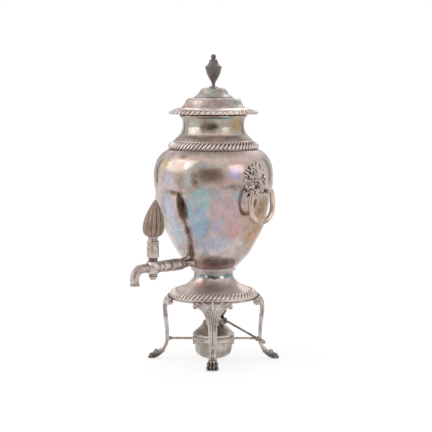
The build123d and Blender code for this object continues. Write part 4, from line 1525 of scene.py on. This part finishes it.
@dataclass
class Tap:
    """The barrel, valve, spout and leaf-topped key of the tap, in millimetres.

    The height is that of the barrel's axis. The valve and the mouth are as far from the urn's
    axis as the numbers say, and the pipe starts a little beyond the valve's middle. The leaf's
    shares are (width, height) pairs of its outline, as parts of its greatest width and height.
    """

    palette: Palette
    height: float = 140.5
    valve: float = 113.2
    mouth: float = 145.8
    pipe: float = 6.3
    start: float = 8.0
    bend: float = 13.0
    drop: float = 7.0
    pinch: float = 0.88
    flutes: int = 12
    flute: tuple[float, ...] = (0.86, 0.94, 0.985)
    leaf_foot: float = 182.0
    leaf_half: Point = (17.0, 12.4)
    leaf_rise: Place = (0, 5.0, 50.0)
    leaf_shares: tuple[Point, ...] = (
        (0.40, 0.0), (0.62, 0.02), (0.84, 0.07), (0.95, 0.14), (1.0, 0.25), (0.96, 0.4),
        (0.81, 0.57), (0.57, 0.74), (0.35, 0.86), (0.19, 0.94), (0.04, 1.0),
    )

    def build_barrel(self) -> None:
        """Turns the socket and the rolled barrel."""
        Bench.dressed("tap_root", "tap_socket", "urn", "tap_silver", self.palette.tap)
        rolls = [
            (3.0, 51.0), (5.4, 51.0), (5.5, 53.0), (6.1, 56.0), (7.1, 59.6), (7.7, 62.0),
            (7.9, 63.4), (7.6, 64.2), (6.4, 64.7), (6.4, 65.0), (7.6, 65.5), (7.9, 66.4),
            (8.2, 70.0), (8.25, 75.0), (8.1, 80.0), (7.9, 82.4), (7.5, 83.3), (6.4, 83.8),
            (6.4, 84.1), (7.5, 84.6), (7.9, 85.6), (8.1, 89.0), (8.0, 93.0), (7.8, 95.8),
            (7.4, 96.6), (6.4, 97.1), (6.4, 97.4), (7.3, 97.9), (7.6, 99.0), (7.7, 101.6),
            (7.5, 106.0), (3.0, 106.0), (3.0, 51.0),
        ]
        pieces = [Bench.turned("rolls", rolls, 56, (0, 0, self.height), (0, -1, 0))]
        for angle in (20, 55, 90, 125, 160):
            a = radians(angle)
            pieces.append(Bench.limb([
                (r * cos(a), y, self.height + r * sin(a), size) for r, y, size in (
                    (6.6, -64.6, 0.7), (6.9, -61.6, 1.2), (7.0, -57.6, 1.5), (7.6, -53.6, 1.4),
                    (8.8, -51.0, 1.0), (9.4, -50.0, 0.5))]))
        piece = Bench.smooth(Bench.joined("tap_rolls", pieces), 50.0)
        Bench.finish(piece, "urn", "tap_silver", self.palette.tap, "tap_barrel")

    def build_valve(self) -> None:
        """Turns the ball of the valve, bored for the plug."""
        arc = [(10.9 * cos(radians(a)), self.height + 10.9 * sin(radians(a)))
               for a in range(-60, 49, 4)]
        outline = [(5.05, 129.6), (5.5, 129.7), (5.6, 130.4)] + arc
        outline += [(6.9, 148.6), (6.15, 148.6), (5.05, 129.6)]
        piece = Bench.turned("tap_ball", outline, 64, (0, -self.valve, 0))
        Bench.finish(piece, "urn", "tap_silver", self.palette.tap, "tap_valve_body")

    def spout_pipe(self) -> Piece:
        """Extrudes and spins a fluted ring into the bent pipe.

        Returns:
            The pipe with its wall.
        """
        start = self.valve + self.start
        middle = Vector((0, -start * MM, self.height * MM))
        Bench.clear()
        bpy.ops.mesh.primitive_circle_add(
            vertices=24, radius=self.pipe * MM, location=middle, rotation=(radians(90), 0, 0))
        piece = Bench.settle(Bench.added("tap_spout_pipe"))
        with Bench.editing(piece):
            Bench.choose(piece, lambda i, place: i % 3 == 0)
            bpy.ops.transform.resize(
                value=(self.pinch, 1, self.pinch), center_override=middle)
            bpy.ops.mesh.select_all(action="SELECT")
            bpy.ops.mesh.extrude_region_move(
                TRANSFORM_OT_translate={"value": (0, (start + self.bend - self.mouth) * MM, 0)})
            bpy.ops.mesh.spin(
                steps=14, angle=radians(-90), axis=(1, 0, 0),
                center=(0, (self.bend - self.mouth) * MM, (self.height - self.bend) * MM))
            bpy.ops.mesh.extrude_region_move(
                TRANSFORM_OT_translate={"value": (0, 0, -self.drop * MM)})
        Bench.close_up(piece)
        Bench.modify(piece, "SOLIDIFY", thickness=1.6 * MM, offset=-1.0)
        Bench.modify(piece, "SUBSURF", levels=1, render_levels=1)
        return Bench.smooth(piece, 60.0)

    def build_spout(self) -> None:
        """Bends the spout and turns its lip."""
        piece = self.spout_pipe()
        Bench.finish(piece, "urn", "tap_silver", self.palette.tap, "tap_spout")
        lip = Bench.turned("tap_spout_ring", [
            (4.2, 118.2), (6.1, 118.2), (6.5, 118.5), (6.6, 119.0), (6.6, 120.2), (6.4, 120.8),
            (6.3, 121.0), (4.2, 121.0), (4.2, 118.2)], 48, (0, -self.mouth, 0))
        Bench.finish(lip, "urn", "tap_silver", self.palette.tap, "tap_spout_lip")

    def build_key(self) -> None:
        """Turns the key's stem and shapes its leaf."""
        for node, name, finish in (
                ("tap_plug", "key_plug", self.palette.shade_darkened),
                ("tap_washer", "key_washer", self.palette.tap),
                ("tap_nut", "key_nut", self.palette.tap)):
            Bench.dressed(node, name, "tap_key", "tap_silver", finish)
        stem = [(0, 152.6), (5.8, 152.6), (5.8, 153.2), (6.6, 153.7), (7.7, 154.1), (8.0, 155.0),
                (8.1, 160.0), (8.1, 167.4), (7.9, 168.8), (7.4, 169.4), (7.3, 169.7),
                (7.4, 170.0), (7.9, 170.5), (8.1, 171.4), (8.1, 172.6), (7.7, 173.1),
                (7.7, 173.4), (8.0, 173.9), (8.0, 175.4), (7.7, 176.0), (6.9, 176.5),
                (6.5, 177.2), (6.3, 178.6), (6.4, 180.4), (6.8, 182.2), (0, 182.2)]
        piece = Bench.turned("key_vase", stem, 56, (0, -self.valve, 0))
        Bench.finish(piece, "tap_key", "tap_silver", self.palette.tap, "key_stem")
        leaf = self.leaf()
        Bench.finish(leaf, "tap_key", "key_brown", self.palette.leaf, "key_leaf")

    def leaf(self) -> Piece:
        """Extrudes a fluted ring up into the bud-shaped leaf.

        Returns:
            The leaf.
        """
        around = self.flutes * 8
        base = Vector((0, -self.valve, self.leaf_foot)) * MM
        (width, height), *shares = swept_line(self.leaf_shares, 3)
        Bench.clear()
        bpy.ops.mesh.primitive_circle_add(vertices=around, radius=MM, location=base)
        piece = Bench.settle(Bench.added("key_bud"))
        with Bench.editing(piece):
            for rank, size in enumerate(self.flute):
                Bench.choose(piece, lambda i, place: i % 8 in (rank, 7 - rank))
                bpy.ops.transform.resize(value=(size, size, 1), center_override=base)
            bpy.ops.mesh.select_all(action="SELECT")
            across, deep = self.leaf_half
            bpy.ops.transform.resize(
                value=(across * width, deep * width, 1), center_override=base)
            here = base
            for next_width, next_height in shares:
                step = Vector(self.leaf_rise) * (next_height - height) * MM
                bpy.ops.mesh.extrude_region_move(TRANSFORM_OT_translate={"value": step})
                here = here + step
                ratio = next_width / width
                bpy.ops.transform.resize(value=(ratio, ratio, 1), center_override=here)
                width, height = next_width, next_height
            bpy.ops.mesh.merge(type="CENTER")
            Bench.choose(piece, lambda i, place: place.z < base.z + 0.01 * MM)
            bpy.ops.mesh.edge_face_add()
        return Bench.smooth(Bench.close_up(piece), 60.0)

    def build(self) -> None:
        """Builds the tap's pieces in order."""
        self.build_barrel()
        self.build_valve()
        self.build_spout()
        self.build_key()


@dataclass
class LionHandles:
    """The lion masks and the drop handles that hang from them, in millimetres.

    Each row of the mane has its count of locks, where they start, their half thickness, how
    far they stand off the urn and how long they are.
    """

    palette: Palette
    middle: float = 257.4
    drop: float = 2.0
    relief: float = 0.8
    pivot: float = 242.0
    voxel: float = 0.42
    rows: tuple[tuple[int, float, float, float, float], ...] = (
        (13, 12.0, 2.0, 7.4, 4.6), (18, 15.6, 1.9, 5.6, 4.4), (22, 19.0, 1.8, 3.2, 4.2),
    )

    def seat(self, y: float, z: float) -> float:
        """How far out the urn's side is behind a point of the mask.

        Args:
            y: How far the point is to the side of the mask's middle.
            z: The point's height.

        Returns:
            The distance from the urn's axis along the mask's direction.
        """
        rise = z - self.drop - 255.0
        radius = 83.3 - (0.0070 if rise > 0 else 0.0054) * rise ** 2
        return sqrt(radius ** 2 - y ** 2)

    def features(self) -> list[Piece]:
        """Makes the face: brow, eyes, nose, muzzle, cheeks, jaw and ears.

        Returns:
            The pieces.
        """
        made = [
            Bench.ball((80.0, 0, 256.0), (9.8, 16.4, 20.0)),
            Bench.ball((85.4, 0, 264.5), (6.2, 9.4, 8.0)),
            Bench.ball((95.2, 0, 248.7), (2.3, 3.1, 1.7)),
            Bench.ball((90.2, 0, 240.4), (4.2, 4.0, 2.5)),
            Bench.limb([(90.8, 0, 262.0, 1.8), (93.0, 0, 257.0, 1.9), (94.6, 0, 252.4, 2.2),
                        (95.2, 0, 249.6, 2.4)]),
        ]
        for side in SIDES:
            made += [
                Bench.ball((92.4, side * 3.6, 246.0), (4.4, 4.3, 3.5)),
                Bench.ball((90.4, side * 5.3, 254.4), (1.9, 2.1, 1.8)),
                Bench.limb([(92.6, side * 1.6, 257.2, 1.1), (93.0, side * 4.6, 260.0, 1.7),
                            (91.0, side * 8.6, 260.0, 1.6), (87.6, side * 11.4, 256.8, 1.0)]),
                Bench.limb([(91.2, side * 2.6, 255.2, 0.5), (92.4, side * 5.3, 257.0, 0.7),
                            (90.2, side * 8.4, 255.0, 0.5)]),
                Bench.limb([(91.0, side * 2.8, 253.6, 0.5), (92.0, side * 5.3, 252.2, 0.7),
                            (89.6, side * 8.2, 253.6, 0.5)]),
                Bench.ball((86.4, side * 9.4, 249.4), (4.8, 4.4, 6.0)),
                Bench.ball((86.2, side * 12.6, 263.6), (3.2, 3.0, 3.4)),
                Bench.limb([(91.4, side * 7.4, 247.8, 0.8), (91.0, side * 7.6, 244.4, 0.9),
                            (91.6, side * 4.6, 242.2, 0.9), (92.8, side * 1.4, 242.6, 0.7)]),
                Bench.limb([(90.2, side * 2.0, 239.2, 1.3), (88.2, side * 2.6, 236.8, 1.4),
                            (85.8, side * 2.0, 234.6, 0.8)]),
            ]
        return made

    def lock(
        self, angle: float, near: float, far: float, thick: float, high: float, curl: float
    ) -> Piece:
        """One lock of the mane.

        Args:
            angle: Where round the face it stands, in radians.
            near: How far from the mask's middle it starts.
            far: How far from the mask's middle it ends.
            thick: Its half thickness.
            high: How far it stands off the urn's side.
            curl: How far it curls sideways.

        Returns:
            The lock.
        """
        line = []
        for share, bend, lift, size in (
                (0.0, 0.0, 1.0, 0.7), (0.3, 0.55, 1.12, 1.0), (0.62, 1.0, 0.86, 1.0),
                (0.88, 0.7, 0.5, 0.8), (1.0, 0.15, 0.28, 0.45)):
            out = near + (far - near) * share
            turn = angle + curl * bend / out
            y, z = 0.93 * out * cos(turn), self.middle + 1.1 * out * sin(turn)
            line.append((self.seat(y, z) + high * lift, y, z, thick * size))
        return Bench.limb(line)

    def mane(self) -> list[Piece]:
        """Makes the curls of the mane in three rows, and the tuft above the brow.

        Returns:
            The locks.
        """
        made = []
        for count, near, thick, high, reach in self.rows:
            for i in range(count):
                angle = 2 * pi * (i + 0.5 * sin(near)) / count
                curl = 3.6 * sin(7.3 * i + near)
                made.append(self.lock(angle, near, near + reach + sin(5.1 * i), thick,
                                      high + 0.8 * sin(3.7 * i), curl))
        for wide, top in ((5.4, 274.0), (2.2, 279.0)):
            for side in SIDES:
                made.append(Bench.limb([
                    (90.6, side * 1.0, 263.0, 1.2), (90.4, side * (wide * 0.7), 267.0, 1.7),
                    (88.2, side * wide, 271.0, 1.7), (84.8, side * wide * 0.8, top, 1.0)]))
        return made

    def lugs(self) -> list[Piece]:
        """Makes the two bored lugs that hold the handle's ends, with their bosses.

        Returns:
            The pieces.
        """
        made = []
        for side in SIDES:
            low, high = sorted((side * 9.5, side * 14.8))
            made.append(Bench.block(
                (78.0, low, self.pivot - 2.6), (94.0, high, self.pivot + 2.6), 0.8))
            outline = [(2.06, low), (3.2, low), (3.6, low + 0.4), (3.6, low + 1.2),
                       (3.2, low + 1.8), (3.2, high - 1.8), (3.6, high - 1.2),
                       (3.6, high - 0.4), (3.2, high), (2.06, high), (2.06, low)]
            made.append(Bench.turned("lug", outline, 32, (94.0, 0, self.pivot), (0, 1, 0)))
        return made

    def handle(self) -> Piece:
        """Bends the horseshoe and adds its pins, along +X.

        Returns:
            The handle.
        """
        pivot, top, low = self.pivot, 18.3, 20.4
        half = [(top, 0.0, 3.1), (19.0, 3.0, 3.15), (20.0, 6.4, 3.3), (20.9, 13.0, 3.5),
                (21.2, 20.0, 3.55)]
        half += [(21.3 * cos(radians(a)), low + 21.3 * sin(radians(a)), 3.55)
                 for a in (20, 38, 56)]
        half.append((6.2, low + 20.6, 3.55))
        line = half + [(0, low + 20.7, 3.55)] + [(-y, down, size) for y, down, size in half[::-1]]
        pieces = [Bench.limb(
            [(94.0, y, pivot - down, size) for y, down, size in line], rounding=3)]
        for side in SIDES:
            pieces.append(Bench.ball((94.0, side * top, pivot), (3.15, 3.1, 3.15)))
            pieces.append(Bench.turned(
                "pin", [(0, 10.0), (1.8, 10.0), (2.0, 10.3), (2.0, 17.0), (2.6, 17.6), (0, 17.6)],
                24, (94.0, 0, pivot), (0, side, 0)))
        return Bench.smooth(Bench.joined("handle_bow", pieces), 60.0)

    def build(self) -> None:
        """Makes the mask and handle once and sets a copy on each side."""
        mask = Bench.fused("lion", self.features() + self.mane(), self.voxel)
        middle = Matrix.Translation(Vector((80.0, 0, 0)) * MM)
        squeeze = middle @ Matrix.Scale(self.relief, 4, (1, 0, 0)) @ middle.inverted()
        Bench.moved(mask, Matrix.Translation(Vector((0, 0, -self.drop)) * MM) @ squeeze)
        lugs = Bench.joined("lugs", self.lugs())
        mask = Bench.joined("lion_head", [mask, lugs])
        bow = self.handle()
        for side in Side:
            name = side.name.lower()
            turn = Matrix.Rotation(radians(side.value), 4, "Z")
            face = Bench.twin("lion_head_" + name, mask, turn)
            Bench.finish(face, "urn", "cast_silver", self.palette.cast, "lion_mask_" + name)
            ring = Bench.twin("drop_handle_" + name, bow, turn)
            Bench.finish(ring, "drop_handle_" + name, "cast_silver", self.palette.handle,
                         "handle_" + name)
        bpy.data.objects.remove(mask)
        bpy.data.objects.remove(bow)


@dataclass
class Burner:
    """The spirit burner, its ring, and the snuffer on its collar, in millimetres."""

    palette: Palette
    azimuth: float = 10.0
    hinge: Point = (18.5, 57.2)
    slope: float = 20.0
    open_angle: float = 50.0

    def build_ring(self) -> None:
        """Turns the ring and adds its four lugs."""
        ring = Bench.turned("ring_hoop", [
            (26.9, 26.5), (28.9, 26.5), (29.4, 26.9), (29.5, 27.4), (29.0, 28.2), (29.0, 30.0),
            (29.5, 30.8), (29.5, 31.4), (29.1, 31.9), (26.9, 32.0), (26.9, 26.5)], 96)
        pieces = [ring]
        for corner in Corner:
            lug = Bench.block((26.6, -2.8, 20.4), (29.3, 2.8, 27.5), 0.6)
            Bench.moved(lug, Matrix.Rotation(radians(corner.value), 4, "Z"))
            pieces.append(lug)
        piece = Bench.smooth(Bench.joined("burner_hoop", pieces))
        Bench.finish(piece, "urn", "burner_silver", self.palette.tap, "burner_ring")

    def build_pot(self) -> None:
        """Turns the spirit pot."""
        bowl = swept_line([(12.0, 2.0), (19.5, 4.6), (24.6, 10.0), (26.2, 17.0)], 6)
        inner = swept_line([(25.2, 17.4), (23.6, 10.6), (18.9, 5.6), (11.8, 3.0)], 5)
        outline = [(0, 2.6), (10.8, 2.4), (11.4, 2.0)] + bowl
        outline += [(26.2, 24.0), (26.2, 32.35), (29.0, 32.35), (29.2, 32.6), (29.2, 33.3),
                    (29.0, 33.55), (25.2, 33.55)] + inner + [(0, 3.0)]
        piece = Bench.turned("spirit_pot", outline, 96)
        Bench.finish(piece, "burner", "burner_silver", self.palette.burner, "burner_pot")

    def build_top(self) -> None:
        """Turns the conical shoulder with its collar and the wick tube."""
        cone = [
            (24.8, 32.3), (24.8, 33.9), (29.0, 33.9), (29.3, 34.2), (29.3, 36.3), (29.0, 36.8),
            (28.2, 37.2), (22.0, 43.2), (16.0, 49.2), (15.2, 49.8), (15.4, 50.2), (15.6, 50.8),
            (15.4, 51.4), (14.4, 51.7), (13.7, 52.0), (13.7, 52.4), (14.6, 52.7), (14.8, 53.2),
            (14.8, 53.7), (14.5, 54.0), (6.6, 54.0), (6.6, 53.0), (12.6, 53.0), (12.6, 50.6),
            (26.6, 37.2), (26.6, 35.2), (23.9, 34.9), (23.9, 32.3), (24.8, 32.3),
        ]
        top = Bench.turned("burner_cone", cone, 96, sharp=30.0)
        Bench.finish(top, "burner_head", "burner_silver", self.palette.burner, "burner_top")
        tube = Bench.turned("wick_sleeve", [
            (5.5, 44.0), (6.5, 44.0), (6.5, 60.4), (6.7, 60.6), (6.7, 60.9), (6.4, 61.0),
            (5.5, 61.0), (5.5, 44.0)], 40)
        Bench.finish(tube, "burner_head", "burner_silver", self.palette.burner, "wick_tube")
        wick = Bench.turned("wick_cotton_plug", [
            (0, 38.0), (5.0, 38.0), (5.4, 38.4), (5.4, 61.6), (5.0, 62.6), (4.2, 63.4),
            (2.0, 63.6), (0, 63.2)], 40, sharp=80.0)
        Bench.finish(wick, "burner_head", "wick_cotton", self.palette.wick, "wick")
        for node, name in (("snuffer_bracket", "snuffer_ears"), ("snuffer_pin", "snuffer_axle")):
            Bench.dressed(node, name, "burner_head", "burner_silver", self.palette.burner)

    def lever_axis(self) -> tuple[Vector, Vector]:
        """Finds where the snuffer's lever is.

        Returns:
            The hinge's middle in millimetres, and the lever's direction.
        """
        turn, slope = radians(self.azimuth), radians(self.slope)
        radius, height = self.hinge
        start = Vector((radius * cos(turn), radius * sin(turn), height))
        along = Vector((cos(slope) * cos(turn), cos(slope) * sin(turn), -sin(slope)))
        return start, along

    def build_snuffer(self) -> None:
        """Makes the lever, its turned knob and the bell, where the snuffer stands open."""
        Bench.dressed("snuffer_lever", "snuffer_arm", "snuffer", "burner_silver",
                      self.palette.shade_darkened)
        start, along = self.lever_axis()
        knob = [(0, 59.0), (1.4, 59.0), (3.6, 59.2), (4.0, 59.6), (4.0, 60.5), (3.5, 60.9),
                (2.0, 61.3), (2.0, 61.6), (2.7, 62.1), (3.0, 62.8), (3.0, 63.6), (2.7, 64.3),
                (1.9, 64.9), (2.1, 65.5), (2.9, 66.3), (3.4, 67.4), (3.5, 68.6), (3.3, 70.0),
                (2.6, 71.3), (1.5, 72.1), (1.5, 72.5), (1.8, 73.0), (1.5, 73.8), (0, 74.2)]
        piece = Bench.turned("snuffer_grip", knob, 36, tuple(start), tuple(along))
        Bench.finish(piece, "snuffer", "burner_silver", self.palette.tap, "snuffer_knob")
        z = 54.6
        outside = [(13.6, z), (13.9, z + 0.4), (13.7, z + 1.2)] + swept_line(
            [(13.2, z + 1.6), (13.0, z + 4.0), (12.0, z + 8.4), (9.4, z + 12.8),
             (5.2, z + 15.2), (0, z + 16.0)], 4)
        inside = [(0, z + 15.2)] + swept_line(
            [(4.6, z + 14.4), (8.6, z + 12.0), (11.2, z + 7.8), (12.2, z + 3.4), (12.6, z)], 4)
        bell = Bench.turned("snuffer_bell", outside + inside + [outside[0]], 64)
        radius, height = self.hinge
        pivot = Matrix.Translation(Vector((radius, 0, height)) * MM)
        swing = pivot @ Matrix.Rotation(radians(self.open_angle), 4, "Y") @ pivot.inverted()
        Bench.moved(bell, Matrix.Rotation(radians(self.azimuth), 4, "Z") @ swing)
        Bench.finish(bell, "snuffer", "burner_silver", self.palette.shade_darkened, "snuffer_cap")

    def build(self) -> None:
        """Builds the burner's pieces in order."""
        self.build_ring()
        self.build_pot()
        self.build_top()
        self.build_snuffer()


@dataclass
class Studio:
    """The camera, the pale floor, the lamps and the grey cards that the metal mirrors.

    The camera's focal length, distance and target are in millimetres and its angles in
    degrees. The lamps and cards face the aim, which is in metres.
    """

    focal: float = 109.1
    distance: float = 1834.7
    pitch: float = 5.59
    azimuth: float = 45.9
    look_at: float = 202.3
    shift_right: float = 3.5
    sky: float = 0.95
    aim: Place = (0.0, 0.0, 0.22)

    def toward(self, azimuth: float, pitch: float) -> Vector:
        """The direction from the urn to a place round it.

        Args:
            azimuth: Where round the urn the place is, in degrees.
            pitch: How high it is, in degrees.

        Returns:
            The direction, with a length of 1.
        """
        a, e = radians(azimuth), radians(pitch)
        return Vector((sin(a) * cos(e), -cos(a) * cos(e), sin(e)))

    def place_camera(self) -> None:
        """Sets the camera at the photograph's viewing angle."""
        a = radians(self.azimuth)
        right = Vector((cos(a), sin(a), 0))
        target = (right * self.shift_right + Vector((0, 0, self.look_at))) * MM
        bpy.ops.object.camera_add(
            location=target + self.toward(self.azimuth, self.pitch) * self.distance * MM)
        camera = bpy.context.object
        camera.rotation_euler = (target - camera.location).to_track_quat("-Z", "Y").to_euler()
        camera.data.lens = self.focal
        camera.data.sensor_width = 36.0
        bpy.context.scene.camera = camera

    def lay_floor(self) -> None:
        """Lays the floor, white to the camera but for the object's soft shadow."""
        Bench.clear()
        bpy.ops.mesh.primitive_plane_add(size=9.0)
        floor = Bench.added("floor")
        s = Shader.named("floor white")
        path = s.node("ShaderNodeLightPath", {}, {})
        seen = (path.out("Is Camera Ray") + path.out("Is Glossy Ray")
                + path.out("Is Transmission Ray")).kept()
        far = s.vector("LENGTH", s.coords, (0, 0, 0)).out("Value").between(0.35, 1.1)
        matt = s.node("ShaderNodeBsdfDiffuse", {}, {"Color": (0.96, 0.96, 0.96)})
        glow = s.node("ShaderNodeEmission", {}, {"Color": WHITE, "Strength": 1.0})
        share = seen * (far * 0.22 + 0.78)
        surface = s.node("ShaderNodeMixShader", {}, {0: share, 1: matt, 2: glow})
        floor.data.materials.append(s.close(surface))

    def hang_lamp(
        self, azimuth: float, pitch: float, far: float, size: Point, power: float
    ) -> None:
        """Hangs a soft lamp that points at the urn.

        Args:
            azimuth: Where round the urn it is, in degrees.
            pitch: How high it is, in degrees.
            far: How far away it is, in metres.
            size: Its width and height in metres.
            power: Its power in watts.
        """
        middle = Vector(self.aim)
        bpy.ops.object.light_add(type="AREA", location=middle + self.toward(azimuth, pitch) * far)
        lamp = bpy.context.object
        lamp.rotation_euler = (middle - lamp.location).to_track_quat("-Z", "Y").to_euler()
        lamp.data.shape = "RECTANGLE"
        lamp.data.size, lamp.data.size_y = size
        lamp.data.energy = power

    def hang_card(
        self, name: str, azimuth: float, pitch: float, far: float, size: Point, level: float
    ) -> None:
        """Hangs a card that only the metal's reflections see.

        Args:
            name: The card's name.
            azimuth: Where round the urn it is, in degrees.
            pitch: How high it is, in degrees.
            far: How far away it is, in metres.
            size: Its width and height in metres.
            level: Its grey, from 0 to 1.
        """
        middle = Vector(self.aim)
        place = middle + self.toward(azimuth, pitch) * far
        Bench.clear()
        bpy.ops.mesh.primitive_plane_add(size=1.0, location=place)
        card = Bench.added(name)
        card.rotation_euler = (middle - place).to_track_quat("Z", "Y").to_euler()
        card.scale = (*size, 1.0)
        Bench.settle(card)
        s = Shader.named(name + " grey")
        across = s.node("ShaderNodeSeparateXYZ", {}, {0: s.coords.out("UV")})
        wide, high = across.out("X"), across.out("Y")
        inner = ((wide * (1 - wide) * 4).between(0.0, 0.75)
                 * (high * (1 - high) * 4).between(0.0, 0.85))
        dark = (level, level * 0.95, level * 0.90)
        colour = s.mix((self.sky, self.sky, self.sky), dark, inner)
        glow = s.node("ShaderNodeEmission", {}, {"Color": colour, "Strength": 1.0})
        card.data.materials.append(s.close(glow))
        card.visible_camera = card.visible_diffuse = card.visible_shadow = False
        card.visible_transmission = False

    def light(self) -> None:
        """Sets the world, the lamps and the cards."""
        world = bpy.data.worlds.new("studio")
        bpy.context.scene.world = world
        s = Shader(world)
        path = s.node("ShaderNodeLightPath", {}, {})
        seen = (path.out("Is Camera Ray") + path.out("Is Transmission Ray")).kept()
        back = s.node("ShaderNodeBackground", {}, {"Color": WHITE, "Strength": 1.0})
        fill = s.node("ShaderNodeBackground", {}, {"Color": WHITE, "Strength": self.sky})
        both = s.node("ShaderNodeMixShader", {}, {0: seen, 1: fill, 2: back})
        s.node("ShaderNodeOutputWorld", {}, {"Surface": both})
        self.hang_lamp(-34, 34, 2.2, (2.0, 1.8), 13.5)
        self.hang_lamp(94, 24, 2.2, (1.0, 0.9), 3.3)
        self.hang_lamp(215, 42, 2.2, (1.8, 1.4), 9.0)
        self.hang_card("card_front", 40, 10, 2.4, (2.6, 2.2), 0.38)
        self.hang_card("card_left", -91, 6, 2.4, (0.55, 3.4), 0.30)
        self.hang_card("card_right", 182, 6, 2.4, (0.55, 3.4), 0.30)
        self.hang_card("card_back", 235, 12, 2.6, (1.5, 1.4), 0.40)

    def build(self) -> None:
        """Sets up the camera, floor and light."""
        self.place_camera()
        self.lay_floor()
        self.light()
        bpy.context.scene.view_settings.view_transform = "Standard"


def main() -> None:
    """Builds the studio and then every part of the urn, and reports each piece."""
    logging.basicConfig(level=logging.INFO, format="%(message)s")
    Bench.clear()
    Studio().build()
    palette = Palette()
    for part in (Vessel, Lid, Foot, Legs, Tap, LionHandles, Burner):
        part(palette).build()
        report.info("%s is built", part.__name__)


if __name__ == "__main__":
    main()
